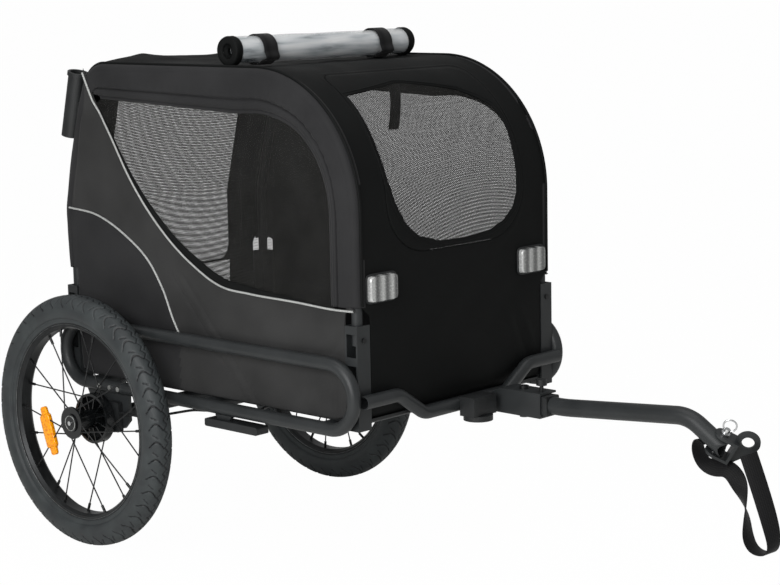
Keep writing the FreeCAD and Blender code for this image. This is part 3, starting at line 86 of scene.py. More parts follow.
# The camera: yaw, pitch and roll in degrees, what it looks at and from how far in metres, and the shift of
# its picture as shares of the width
VIEW_ANGLES = (42.915, 9.170, -1.1055)
VIEW_CENTRE = (AXLE_X + 0.42927, 0, 0.41373)
VIEW_DISTANCE = 3.0274
VIEW_SHIFT = ((390 - 398.11) / 780, (289.86 - 292.5) / 780)

# Millimetres forward of the axle and up from the ground, in the plane of the cover's side; HOOP_BENDS are
# the radii at the hoop's three inner corners
HOOP_CORNERS = np.array([(-84, 250), (-84, 520), (-26, 746), (540, 746), (540, 250)], float)
HOOP_BENDS = (90, 40, 190)
WINDOW_PIPING = ((-36, 750), (-10, 701), (26, 647), (73, 577), (122, 523), (200, 464), (276, 431),
                 (330, 427), (434, 424), (509, 421), (548, 422))
REAR_PIPING = ((-84, 527), (-16, 520), (50, 494), (107, 456), (139, 413), (160, 370), (172, 350))
# Stretches of the hoop line that the cloths cover, from its rear foot
LEG_RUN = (485, 182)
WRAP_RUN = (180, 486)
WELT_RUN = (440, 1296)
ROOF_RUN = (462, 868)
BAND_RUN = (478, 1298)
NET_RUN = (506, 1300)
# The safety strap hangs in the tow arm's plane, along a line that these points, forward and up, pull on
ARM_Y = 62.0
STRAP_ROUTE = ((949.3, 241.6), (934.2, 251.4), (930, 228), (952, 206), (990, 213), (1011, 165), (1015, 101),
               (1060, 101), (1048, 155), (1014, 236))
# Share of the strap's length, and by how many degrees the band has turned about its own line there
STRAP_TURNS = ((0, 0), (0.09, 8), (0.19, 62), (0.28, 52), (0.38, 137), (0.48, 184), (0.62, 180),
               (0.76, 142), (1, 133))
# Thickness of webbing, of the door's tie, of the rain cover's hems and of the film in them, in metres
WEBBING, TIE, HEM, COIL = 0.0018, 0.0016, 0.0012, 0.0008
# Radii of the roof's welts, the front door's seam, the rear door's zip and a lens's rim, in metres
WELT, SEAM, ZIP, LENS_RIM = 0.0022, 0.0013, 0.002, 0.0016
# Width of a prism band in the clear lenses
PRISM = 9.75
DARK_FASTENERS = {"hoop_pivot_pins": "spoke_black", "arm_pivot_bolt": "spoke_black",
                  "axle_pins": "gloss_black"}
# Inputs of a range and of a relief, in the order in which the finishes give them
RANGE = ("Value", "From Min", "From Max", "To Min", "To Max")
RELIEF = ("Height", "Distance", "Strength")


# Shapes

def place(x, y, z):
    """Points in metres in the part's frame, from millimetres forward of the axle, to the left and up."""
    x, y, z = np.broadcast_arrays(x, y, z)
    return np.stack([AXLE_X + x / 1000, y / 1000, z / 1000], axis=-1)


def upright(flat, y):
    """Flat points, forward and up, stood at a distance across the part."""
    return place(flat[..., 0], y, flat[..., 1])


def about(centre, radius, angle, y):
    """Points at a radius and angle round a line that runs across the part through a centre."""
    return place(centre[0] + radius * np.cos(angle), y, centre[1] + radius * np.sin(angle))


def bent_line(corners, bends):
    """Straight runs joined by arcs: one of radius r starts r / tan(half angle) from its corner."""
    corners = np.asarray(corners, float)
    points = [corners[:1]]
    swing = np.linspace(0, 1, 49)[:, None]
    for i, bend in enumerate(bends, 1):
        back, on = corners[i - 1] - corners[i], corners[i + 1] - corners[i]
        back, on = back / np.linalg.norm(back), on / np.linalg.norm(on)
        half = np.arccos(np.clip(back @ on, -1, 1)) / 2
        angle = np.pi - 2 * half
        middle = corners[i] + (back + on) / np.linalg.norm(back + on) * bend / np.sin(half)
        first, last = (corners[i] + run * bend / np.tan(half) - middle for run in (back, on))
        arc = np.sin((1 - swing) * angle) * first + np.sin(swing * angle) * last
        points.append(middle + arc / np.sin(angle))
    return np.vstack(points + [corners[-1:]])


def run_of(points):
    """Distance along a line of points, from its start."""
    return np.concatenate([[0], np.cumsum(np.linalg.norm(np.diff(points, axis=0), axis=1))])


def points_at(line, distances):
    """Points at distances along a line of points."""
    run = run_of(line)
    return np.stack([np.interp(distances, run, line[:, k]) for k in (0, 1)], axis=-1)


def evenly(line, count):
    """Points at equal steps along a line of points."""
    return points_at(line, np.linspace(0, run_of(line)[-1], count))


def ruled(first, last, shares):
    """Grid of points that runs straight across from one line of points to another."""
    v = shares[:, None]
    return first[:, None] * (1 - v) + last[:, None] * v


def drawn_to(line, middle, share):
    """A line of points moved to a share of its distance from a middle."""
    return middle + (line - middle) * share


def flowing(points, count):
    """Smooth line through points: cubic Hermite pieces whose slopes are the chords across each point."""
    points = np.asarray(points, float)
    knots = run_of(points)
    slopes = np.gradient(points, knots, axis=0)
    at = np.linspace(0, knots[-1], count)
    i = np.clip(np.searchsorted(knots, at, side="right") - 1, 0, len(knots) - 2)
    span = (knots[i + 1] - knots[i])[:, None]
    t = (at - knots[i])[:, None] / span
    return ((2 * t**3 - 3 * t**2 + 1) * points[i] + (t**3 - 2 * t**2 + t) * span * slopes[i]
            + (3 * t**2 - 2 * t**3) * points[i + 1] + (t**3 - t**2) * span * slopes[i + 1])


HOOP_LINE = bent_line(HOOP_CORNERS, HOOP_BENDS)


def hoop(run, out):
    """X and Z at a distance along the hoop's middle line from its rear foot, moved out along its normal."""
    ahead = points_at(HOOP_LINE, run + 3.0) - points_at(HOOP_LINE, run - 3.0)
    ahead = ahead / np.linalg.norm(ahead, axis=-1, keepdims=True)
    at = points_at(HOOP_LINE, run)
    return at[..., 0] - ahead[..., 1] * out, at[..., 1] + ahead[..., 0] * out


def cover(run, across, lift=0.0):
    """The cover's face: along the hoop line, and from the middle across, round the tube and down."""
    run, across, lift = np.broadcast_arrays(np.asarray(run, float), np.asarray(across, float), lift)
    reach = np.abs(across)
    turn = np.clip((reach - HOOP_Y) / WRAP, 0, np.pi / 2)
    down = np.maximum(reach - HOOP_Y - QUARTER, 0)
    y = np.sign(across) * (np.minimum(reach, HOOP_Y) + (WRAP + lift) * np.sin(turn))
    x, z = hoop(run, (WRAP + lift) * np.cos(turn) - down)
    return place(x, y, z)


def ring_outline(outline, middle, angles):
    """Points where rays at the given angles from the middle meet a closed outline."""
    outline = np.asarray(outline, float) - middle
    bearing = np.arctan2(outline[:, 1], outline[:, 0])
    order = np.argsort(bearing)
    bearing, outline = bearing[order], outline[order]
    x, y = (np.interp(angles, bearing, outline[:, k], period=2 * np.pi) for k in (0, 1))
    return np.stack([x, y], axis=-1) + middle


def dense(outline, step=2.0):
    """A closed outline with points added along its edges."""
    closed = np.vstack([outline, outline[:1]]).astype(float)
    return points_at(closed, np.arange(0, run_of(closed)[-1], step))


def rounded_box(low, high, bends):
    """Closed outline of a rectangle with a bend radius at each corner, given from the low one round."""
    corners = [(low[0], low[1]), (high[0], low[1]), (high[0], high[1]), (low[0], high[1])]
    start = ((low[0] + high[0]) / 2, low[1])
    order = [start, corners[1], corners[2], corners[3], corners[0], start]
    return dense(bent_line(order, (bends[1], bends[2], bends[3], bends[0]))[:-1])


def sweep(path, profile, reference, closed=False):
    """A flat profile carried along a path: sideways is reference x tangent, and up is tangent x sideways."""
    tangent = (np.roll(path, -1, 0) - np.roll(path, 1, 0)) if closed else np.gradient(path, axis=0)
    tangent = tangent / np.linalg.norm(tangent, axis=1)[:, None]
    side = np.cross(np.broadcast_to(reference, path.shape), tangent)
    side = side / np.linalg.norm(side, axis=1)[:, None]
    up = np.cross(tangent, side)
    return path[:, None] + profile[..., 0, None] * side[:, None] + profile[..., 1, None] * up[:, None]


def whole_turn(count):
    """Angles of equal steps round a whole turn."""
    return np.linspace(0, 2 * np.pi, count, endpoint=False)


def circle(radius, sides):
    """Round profile."""
    angle = whole_turn(sides)
    return radius * np.stack([np.cos(angle), np.sin(angle)], axis=-1)


def rounded_band(width, thick, sides=4):
    """Flat strap profile: two straight faces and half-round edges."""
    angle = np.linspace(-np.pi / 2, np.pi / 2, sides)
    edge = np.stack([np.cos(angle), np.sin(angle)], axis=-1) * thick / 2
    right = edge + [width / 2 - thick / 2, 0]
    return np.vstack([right, -right])


def capped(rows):
    """Rows of a tube with each end drawn in to its middle, so that it closes."""
    ends = rows[:1], rows[-1:]
    first, last = (np.broadcast_to(end.mean(axis=1, keepdims=True), end.shape) for end in ends)
    return np.concatenate([first, rows, last])


def lay(name, points, uv=None, wrap_u=False, wrap_v=False, weld=False, sharp=40.0, kinds=None, thick=None):
    """Mesh object of quads through a grid of points; wrapping joins its last row or column to its first.

    Without cloth coordinates a step of the grid counts as 4 mm. A thickness lies half to each side.
    """
    count_u, count_v = points.shape[:2]
    index = np.arange(count_u * count_v).reshape(count_u, count_v)
    if wrap_u:
        index = np.concatenate([index, index[:1]])
    if wrap_v:
        index = np.concatenate([index, index[:, :1]], axis=1)
    corners = [(slice(None, -1), slice(None, -1)), (slice(1, None), slice(None, -1)),
               (slice(1, None), slice(1, None)), (slice(None, -1), slice(1, None))]
    quads = np.stack([index[c] for c in corners], axis=-1).reshape(-1, 4)
    mesh = bpy.data.meshes.new(name)
    mesh.from_pydata(points.reshape(-1, 3).tolist(), [], quads.tolist())
    if uv is None:
        u, v = np.meshgrid(np.arange(index.shape[0]), np.arange(index.shape[1]), indexing="ij")
        uv = np.stack([u, v], axis=-1) * 0.004
    elif wrap_u:
        uv = np.concatenate([uv, uv[:1]])
    cloth = mesh.uv_layers.new(name="Cloth")
    loops = np.stack([uv[c] for c in corners], axis=2).reshape(-1, 2)
    cloth.data.foreach_set("uv", loops.ravel())
    if kinds is not None:
        mesh.polygons.foreach_set("material_index", np.asarray(kinds, np.int32).ravel())
    if weld:
        work = bmesh.new()
        work.from_mesh(mesh)
        bmesh.ops.remove_doubles(work, verts=work.verts, dist=1e-5)
        bmesh.ops.recalc_face_normals(work, faces=work.faces)
        work.to_mesh(mesh)
        work.free()
    mesh.shade_smooth()
    mesh.set_sharp_from_angle(angle=math.radians(sharp))
    made = bpy.data.objects.new(name, mesh)
    bpy.context.scene.collection.objects.link(made)
    if thick:
        wall = made.modifiers.new("Fabric", "SOLIDIFY")
        wall.thickness, wall.offset, wall.use_even_offset = thick, 0.0, False
    return made


def tube(name, path, profile, reference=ACROSS, closed=False):
    """Mesh object of a profile carried along a path; it ends in caps unless the path is closed."""
    rows = sweep(path, profile, reference, closed)
    return lay(name, rows if closed else capped(rows), wrap_u=closed, wrap_v=True, weld=True)


def flat_uv(points):
    """Cloth coordinates in metres: distances along the rows and columns of a grid of points."""
    u = np.concatenate([np.zeros((1,) + points.shape[1:2]),
                        np.cumsum(np.linalg.norm(np.diff(points, axis=0), axis=2), axis=0)])
    v = np.concatenate([np.zeros(points.shape[:1] + (1,)),
                        np.cumsum(np.linalg.norm(np.diff(points, axis=1), axis=2), axis=1)], axis=1)
    return np.stack([u, v], axis=-1)


def bias(uv, cosine, sine):
    """Cloth coordinates turned by an angle, for netting that is cut askew to the sides'."""
    return uv @ np.array([(cosine, -sine), (sine, cosine)])


def ripple(x, z, seed, size=1.0):
    """Slow creases: three sine waves of different length and direction, in millimetres."""
    return size * (0.5 * np.sin(x / 41 + z / 67 + seed) + 0.3 * np.sin(x / 23 - z / 31 + 2.1 * seed)
                   + 0.2 * np.sin(x / 13 + z / 19 + 3.7 * seed))


def bump(at, middle, width):
    """Smooth hump of height one: e to minus the square of the distance over the width."""
    return np.exp(-((at - middle) / width) ** 2)


# Finishes

def hexed(text):
    """Linear colour of an sRGB hex value."""
    part = np.array([int(text[i:i + 2], 16) for i in (1, 3, 5)]) / 255
    linear = np.where(part <= 0.04045, part / 12.92, ((part + 0.055) / 1.055) ** 2.4)
    return (*map(float, linear), 1.0)


def add(tree, kind, inputs=None, stops=(), **settings):
    """Adds a node with its settings and links, and returns its outputs; stops are those of a ramp."""
    made = tree.nodes.new(kind)
    for name, value in settings.items():
        setattr(made, name, value)
    for name, value in (inputs or {}).items():
        if isinstance(value, bpy.types.NodeSocket):
            tree.links.new(value, made.inputs[name])
        else:
            made.inputs[name].default_value = value
    for i, (position, colour) in enumerate(stops):
        ramp = made.color_ramp.elements
        stop = ramp[i] if i < 2 else ramp.new(position)
        stop.position, stop.color = position, hexed(colour)
    return made.outputs


def begin(name):
    """A material with an empty tree."""
    made = bpy.data.materials.new(name)
    made.use_nodes = True
    made.node_tree.nodes.clear()
    return made, made.node_tree


def threads(tree, spacing_mm, along):
    """Distance from a thread's middle, 0 to 1 as a sine, on the piece's cloth coordinates in metres."""
    cloth = add(tree, "ShaderNodeUVMap", uv_map="Cloth")["UV"]
    run = add(tree, "ShaderNodeSeparateXYZ", {"Vector": cloth})[along]
    turns = add(tree, "ShaderNodeMath", {0: run, 1: math.pi * 1000 / spacing_mm}, operation="MULTIPLY")[0]
    wave = add(tree, "ShaderNodeMath", {0: turns}, operation="SINE")[0]
    return add(tree, "ShaderNodeMath", {0: wave}, operation="ABSOLUTE")[0]


def surfaced(made, shade, stops, relief=None, **shading):
    """Ends a finish with a colour ramp on a shade, and a relief of a height, a depth and a strength.

    The depth is in metres. An input given as five values follows the first, from the range of the next two
    to that of the last two.
    """
    tree = made.node_tree
    inputs = {"Base Color": add(tree, "ShaderNodeValToRGB", {"Fac": shade}, stops=stops)[0]}
    if relief:
        inputs["Normal"] = add(tree, "ShaderNodeBump", dict(zip(RELIEF, relief)))[0]
    for name, value in shading.items():
        if isinstance(value, tuple):
            value = add(tree, "ShaderNodeMapRange", dict(zip(RANGE, value)))[0]
        inputs[name.replace("_", " ")] = value
    add(tree, "ShaderNodeOutputMaterial", {"Surface": add(tree, "ShaderNodeBsdfPrincipled", inputs)[0]})
    return made


def clouded(name, size_mm, low, high, rough, stretch=(1, 1, 1), grain_mm=None, ramp=(0.3, 0.7), **shading):
    """A finish whose colour and roughness follow a noise of a given size, raised by a finer grain."""
    made, tree = begin(name)
    at = add(tree, "ShaderNodeTexCoord")["Object"]
    drawn = add(tree, "ShaderNodeMapping", {"Vector": at, "Scale": stretch})[0]
    cloud = add(tree, "ShaderNodeTexNoise", {"Vector": drawn, "Scale": 1000 / size_mm, "Detail": 4})[0]
    relief = None
    if grain_mm:
        grain = add(tree, "ShaderNodeTexNoise", {"Vector": at, "Scale": 1000 / grain_mm, "Detail": 2})[0]
        relief = (grain, 0.00014, 0.45)
    stops = ((ramp[0], low), (ramp[1], high))
    return surfaced(made, cloud, stops, relief, Roughness=(cloud, 0.3, 0.7, *rough), **shading)


def tyre_rubber():
    # Carbon-black tyre rubber: dusty charcoal with a soft sheen on the side wall; the grooves get painted
    # shade.
    made, tree = begin("tyre rubber")
    at = add(tree, "ShaderNodeTexCoord")["Object"]
    dust = add(tree, "ShaderNodeTexNoise", {"Vector": at, "Scale": 1000 / 28, "Detail": 5})[0]
    fine = add(tree, "ShaderNodeTexNoise", {"Vector": at, "Scale": 1000 / 1.8, "Detail": 2})[0]
    groove = add(tree, "ShaderNodeAttribute", attribute_name="groove")["Fac"]
    # Painted shade: the deeper a groove is cut, the darker the rubber's colour there; the dust noise is a
    # real tone
    dust_and_groove_shade = add(tree, "ShaderNodeMath", {0: groove, 1: -0.55, 2: dust}, operation="MULTIPLY_ADD")[0]
    stops = ((0.0, "#101112"), (0.8, "#393d3e"), (0.3, "#25282a"), (0.55, "#2f3334"))
    return surfaced(made, dust_and_groove_shade, stops, (fine, 0.00015, 0.5), Roughness=(dust, 0.3, 0.7, 0.46, 0.62),
                    IOR=1.52, Specular_IOR_Level=0.32)


def woven_polyester(name, low, high, sheen, gloss):
    # Coated 600-denier polyester: a matt plain weave with a faint sheen and uneven dye. The real threads are
    # 0.5 mm apart; they are drawn 2 mm apart, because half a millimetre is too fine to show.
    made, tree = begin(name)
    at = add(tree, "ShaderNodeTexCoord")["Object"]
    cloud = add(tree, "ShaderNodeTexNoise", {"Vector": at, "Scale": 1000 / 90, "Detail": 4})[0]
    weave = add(tree, "ShaderNodeMath", {0: threads(tree, 2.0, "X"), 1: threads(tree, 2.0, "Y")},
                operation="MULTIPLY")[0]
    mixed = add(tree, "ShaderNodeMath", {0: weave, 1: 0.25, 2: cloud}, operation="MULTIPLY_ADD")[0]
    return surfaced(made, mixed, ((0.4, low), (0.85, high)), (weave, 0.00025, 0.3),
                    Roughness=(mixed, 0.4, 0.85, 0.56, 0.76), IOR=1.5, Specular_IOR_Level=gloss,
                    Sheen_Weight=sheen, Sheen_Roughness=0.45)


def window_netting():
    # Knitted polyester netting: dark threads with square holes that let the light behind show through.
    # The real pitch is 1.5 mm; it is drawn at 2.2 mm, because finer holes blur to an even grey.
    made, tree = begin("knitted window netting")
    at = add(tree, "ShaderNodeTexCoord")["Object"]
    cloud = add(tree, "ShaderNodeTexNoise", {"Vector": at, "Scale": 1000 / 40, "Detail": 3})[0]
    gap = add(tree, "ShaderNodeMath", {0: threads(tree, 2.2, "X"), 1: threads(tree, 2.2, "Y")},
              operation="MINIMUM")[0]
    return surfaced(made, cloud, ((0.3, "#1f1f1e"), (0.7, "#292928")), Roughness=(gap, 0.0, 0.5, 0.6, 0.8),
                    Alpha=(gap, 0.22, 0.47, 0.96, 0.06), IOR=1.5, Specular_IOR_Level=0.12)


def nylon_webbing():
    # Flat woven nylon webbing: black ribs across the strap with a soft sheen. Ribs are drawn 2 mm apart.
    made, tree = begin("nylon webbing")
    ribs = threads(tree, 2.0, "X")
    weave = add(tree, "ShaderNodeMath", {0: ribs, 1: threads(tree, 3.0, "Y")}, operation="MULTIPLY")[0]
    return surfaced(made, weave, ((0.1, "#0b0b0c"), (0.9, "#1b1b1c")), (ribs, 0.0003, 0.5),
                    Roughness=(weave, 0.0, 1.0, 0.7, 0.55), IOR=1.5, Specular_IOR_Level=0.15,
                    Sheen_Weight=0.08, Sheen_Roughness=0.4)


def clear_vinyl():
    # Clear PVC film rolled on itself: glassy, with painted highlights as white glints, and dark streaks
    # along the roll.
    made, tree = begin("clear PVC film")
    at = add(tree, "ShaderNodeTexCoord")["Object"]
    drawn = add(tree, "ShaderNodeMapping", {"Vector": at, "Scale": (1, 0.12, 1)})[0]
    streak = add(tree, "ShaderNodeTexNoise", {"Vector": drawn, "Scale": 1000 / 12, "Detail": 5})[0]
    # The lightest stops are painted highlights: white glints in the film's colour
    stops = ((0.3, "#50575b"), (0.64, "#fafbfb"), (0.4, "#b4babd"), (0.52, "#dfe2e4"))
    return surfaced(made, streak, stops, (streak, 0.0012, 0.5), Roughness=(streak, 0.35, 0.7, 0.06, 0.2),
                    Alpha=(streak, 0.3, 0.66, 0.62, 0.3), IOR=1.53)


def amber_acrylic():
    # Moulded amber acrylic: saturated orange, glossy, with tiny corner prisms behind the face.
    made, tree = begin("amber acrylic")
    at = add(tree, "ShaderNodeTexCoord")["Object"]
    prisms = add(tree, "ShaderNodeTexVoronoi", {"Vector": at, "Scale": 1000 / 3})["Distance"]
    stops = ((0.1, "#f8af00"), (0.9, "#d27400"), (0.5, "#f09600"))
    return surfaced(made, prisms, stops, (prisms, 0.0004, 0.4), Roughness=0.25, IOR=1.49, Coat_Weight=0.15,
                    Coat_Roughness=0.08, Specular_IOR_Level=0.3)


def prism_acrylic():
    # Clear reflector acrylic over its prisms: a painted reflection of upright silver bands, bright to grey
    # and back.
    made, tree = begin("clear prism acrylic")
    at = add(tree, "ShaderNodeTexCoord")["Object"]
    side = add(tree, "ShaderNodeSeparateXYZ", {"Vector": at})["Y"]
    per_metre = 2 * math.pi / (2 * PRISM / 1000)
    turns = add(tree, "ShaderNodeMath", {0: side, 1: per_metre, 2: 0.6}, operation="MULTIPLY_ADD")[0]
    band = add(tree, "ShaderNodeMath", {0: turns}, operation="SINE")[0]
    prisms = add(tree, "ShaderNodeTexVoronoi", {"Vector": at, "Scale": 1000 / 2.6})["Distance"]
    mixed = add(tree, "ShaderNodeMath", {0: prisms, 1: 0.35, 2: band}, operation="MULTIPLY_ADD")[0]
    share = add(tree, "ShaderNodeMapRange", {"Value": mixed, "From Min": -0.9, "From Max": 1.2})[0]
    # These stops paint the prisms' silver reflection into the lens's colour
    stops = ((0.05, "#565757"), (0.95, "#b6b7b6"), (0.45, "#7d7e7d"))
    return surfaced(made, share, stops, (prisms, 0.0003, 0.3), Roughness=(prisms, 0.1, 0.8, 0.12, 0.3),
                    Metallic=0.3, IOR=1.49, Coat_Weight=0.6, Coat_Roughness=0.06)


FINISHES = {
    # Baked polyester powder on steel tube: soft wide highlights, faint orange peel, a little dust
    "frame_coat": lambda: clouded("satin powder coat", 60, "#212324", "#2a2c2d", (0.34, 0.46), grain_mm=2.2,
                                  Specular_IOR_Level=0.28),
    # Bright zinc on steel fasteners: a cool grey metal with cloudy passivation
    "zinc_steel": lambda: clouded("zinc plated steel", 6, "#9c9e9d", "#c9cac8", (0.24, 0.42), Metallic=1.0),
    # Chrome on turned steel: a near mirror, dimmed by fine handling marks
    "chrome_steel": lambda: clouded("polished chrome", 3, "#b9babb", "#d9dadb", (0.08, 0.24), (1, 1, 6),
                                    Metallic=1.0),
    # Nylon moulding from a spark-eroded mould: dark, dull, with an even fine grain
    "moulded_black": lambda: clouded("grained nylon moulding", 35, "#131415", "#1d1f20", (0.4, 0.58),
                                     grain_mm=1.6, Specular_IOR_Level=0.35),
    # Polished ABS moulding: deep black with small clear highlights
    "gloss_black": lambda: clouded("gloss ABS moulding", 18, "#08090a", "#121415", (0.16, 0.3),
                                   Specular_IOR_Level=0.4),
    # Extruded aluminium, anodised black: dull metal with drawing lines round the rim
    "rim_black": lambda: clouded("black anodised aluminium", 3, "#1a1b1c", "#2c2e2f", (0.3, 0.46),
                                 (0.15, 3, 0.15), Metallic=0.6),
    # A thin grey metal line round the rim's edge: a painted highlight
    "rim_edge_highlight": lambda: clouded("cut aluminium edge", 5, "#4e5051", "#7c7e7f", (0.3, 0.45), Metallic=1.0),
    # Stainless wire dipped black: thin glossy lines, a little grey where the coat is worn
    "spoke_black": lambda: clouded("black coated wire", 8, "#0d0e0f", "#252627", (0.28, 0.42),
                                   ramp=(0.35, 0.75), Metallic=0.4),
    # PVC sheath on a brake cable: smooth satin black
    "cable_sheath": lambda: clouded("PVC cable sheath", 10, "#0c0d0e", "#17181a", (0.35, 0.5)),
    # Glass-bead reflective tape sewn round a cord: light grey with a beaded glint
    "piping": lambda: clouded("reflective piping tape", 1.5, "#8b8d8c", "#bcbdbb", (0.3, 0.5),
                              Metallic=0.25),
    "tyre_black": tyre_rubber,
    "amber_lens": amber_acrylic,
    "clear_lens": prism_acrylic,
    "charcoal_fabric": lambda: woven_polyester("coated charcoal polyester", "#252525", "#323232", 0.05,
                                               0.12),
    "soft_black": lambda: woven_polyester("padded black polyester", "#202021", "#2a2a2b", 0.04, 0.1),
    "black_fabric": lambda: woven_polyester("coated black polyester", "#0a0b0b", "#101111", 0.0, 0.09),
    "dark_mesh": window_netting,
    "clear_vinyl": clear_vinyl,
    "black_webbing": nylon_webbing,
}
made_finishes = {}


def finish_of(key):
    """The finish of that name, made once."""
    if key not in made_finishes:
        made_finishes[key] = FINISHES[key]()
    return made_finishes[key]


def dress(piece, body, *finishes, slot=None, replaces=()):
    """Gives a piece its finishes, its body and the solids that it stands for; its slot is not used."""
    for key in finishes:
        piece.data.materials.append(finish_of(key))
    if body:
        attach(piece, body)
    if replaces:
        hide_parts(*replaces)
    return piece


def crumple(piece):
    """Gives a piece a mesh of its own."""
    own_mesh(piece)


# Settings

class TrailerSizes(bpy.types.PropertyGroup):
    """Sizes of the dressed pieces that a user would change."""
    tread_depth: bpy.props.FloatProperty(
        name="Tread depth", description="Depth of the tyre's grooves", default=0.0016, unit="LENGTH")
    tread_blocks: bpy.props.IntProperty(
        name="Tread blocks", description="Repeats of the tread round a tyre", default=44)
    piping_radius: bpy.props.FloatProperty(
        name="Piping radius", description="Radius of the reflective piping", default=0.0016, unit="LENGTH")
    cloth_thickness: bpy.props.FloatProperty(
        name="Cloth thickness", description="Thickness of the cover's cloth", default=0.0012, unit="LENGTH")
    net_thickness: bpy.props.FloatProperty(
        name="Netting thickness", description="Thickness of the netting", default=0.0005, unit="LENGTH")
    roof_sag: bpy.props.FloatProperty(
        name="Roof sag", description="How far the roof hangs down", default=0.004, unit="LENGTH")
    strap_width: bpy.props.FloatProperty(
        name="Strap width", description="Width of the safety strap", default=0.025, unit="LENGTH")


class TrailerStudio(bpy.types.PropertyGroup):
    """Camera and light."""
    lens: bpy.props.FloatProperty(
        name="Lens", description="Focal length in millimetres", default=92.19, unit="CAMERA")
    key_power: bpy.props.FloatProperty(
        name="Key light", description="Power of the side light", default=31, unit="POWER")
    fill_power: bpy.props.FloatProperty(
        name="Fill light", description="Power of the front light", default=3.0, unit="POWER")
    top_power: bpy.props.FloatProperty(
        name="Top light", description="Power of the overhead light", default=28, unit="POWER")
    backdrop: bpy.props.FloatVectorProperty(
        name="Backdrop", description="Colour of the background", default=(1.0, 1.0, 1.0), subtype="COLOR")


def sizes():
    """The sizes that the panel shows."""
    return bpy.context.scene.trailer_sizes


# Operators

class TRAILER_OT_camera(bpy.types.Operator):
    """Sets the camera where the photograph was taken from"""
    bl_idname = "trailer.camera"
    bl_label = "Camera"

    def execute(self, context):
        yaw, pitch, roll = (math.radians(angle) for angle in VIEW_ANGLES)
        back = Vector((math.sin(yaw) * math.cos(pitch), -math.cos(yaw) * math.cos(pitch), math.sin(pitch)))
        right = (-back).cross(Vector((0, 0, 1))).normalized()
        up = right.cross(-back)
        side = right * math.cos(roll) + up * math.sin(roll)
        above = up * math.cos(roll) - right * math.sin(roll)
        data = bpy.data.cameras.new("camera")
        data.sensor_width = 36
        data.lens = context.scene.trailer_studio.lens
        data.shift_x, data.shift_y = VIEW_SHIFT
        data.dof.use_dof = False
        eye = bpy.data.objects.new("camera", data)
        turn = Matrix((side, above, back)).transposed().to_4x4()
        eye.matrix_world = Matrix.Translation(Vector(VIEW_CENTRE) + back * VIEW_DISTANCE) @ turn
        context.scene.collection.objects.link(eye)
        context.scene.camera = eye
        return {"FINISHED"}


class TRAILER_OT_safety_strap(bpy.types.Operator):
    """Hangs the webbing safety strap in a loop below the hitch"""
    bl_idname = "trailer.safety_strap"
    bl_label = "Safety strap"

    def execute(self, context):
        control = upright(np.array(STRAP_ROUTE, float), ARM_Y)
        curve = bpy.data.curves.new("strap_route", "CURVE")
        curve.dimensions = "3D"
        curve.resolution_u = 24
        spline = curve.splines.new("NURBS")
        spline.points.add(len(control) - 1)
        spline.points.foreach_set("co", np.column_stack([control, np.ones(len(control))]).ravel())
        spline.order_u = 3
        spline.use_endpoint_u = True
        holder = bpy.data.objects.new("strap_route", curve)
        line = bpy.data.meshes.new_from_object(holder)
        path = np.empty(len(line.vertices) * 3)
        line.vertices.foreach_get("co", path)
        path = path.reshape(-1, 3)
        bpy.data.objects.remove(holder)
        bpy.data.curves.remove(curve)
        bpy.data.meshes.remove(line)
        # The band turns half over on its way down, so it shows its edge at the twist
        length = run_of(path)
        share, turned = np.array(STRAP_TURNS, float).T
        twist = np.radians(np.interp(length / length[-1], share, turned))
        twist = np.convolve(np.pad(twist, 8, "edge"), np.full(17, 1 / 17), "valid")[:, None]
        width = sizes().strap_width
        band = rounded_band(width, WEBBING)
        profile = np.stack([band[:, 0] * np.cos(twist) - band[:, 1] * np.sin(twist),
                            band[:, 0] * np.sin(twist) + band[:, 1] * np.cos(twist)], axis=-1)
        # Its width lies along Y where it isn't turned
        rows = sweep(path, profile, np.cross(np.gradient(path, axis=0), ACROSS))
        ahead = np.concatenate([[0], length, length[-1:]])
        aside = np.append(band[:, 0], band[0, 0]) + width / 2
        uv = np.stack(np.meshgrid(ahead, aside, indexing="ij"), axis=-1)
        strap = lay("safety_strap_band", capped(rows), uv, wrap_v=True, weld=True)
        dress(strap, "tow_arm", "black_webbing", replaces=("safety_strap",))
        return {"FINISHED"}


class TRAILER_OT_metalwork(bpy.types.Operator):
    """Puts the real finishes on the frame, fasteners and mouldings"""
    bl_idname = "trailer.metalwork"
    bl_label = "Metalwork and mouldings"

    def execute(self, context):
        for part in frame["record"]["subparts"]:
            piece = frame["nodes"][part["node"]]
            finish = finish_of(DARK_FASTENERS.get(part["node"], part["material_slot"]))
            for slot in piece.material_slots:
                slot.material = finish
            if not piece.material_slots:
                piece.data.materials.append(finish)
        return {"FINISHED"}


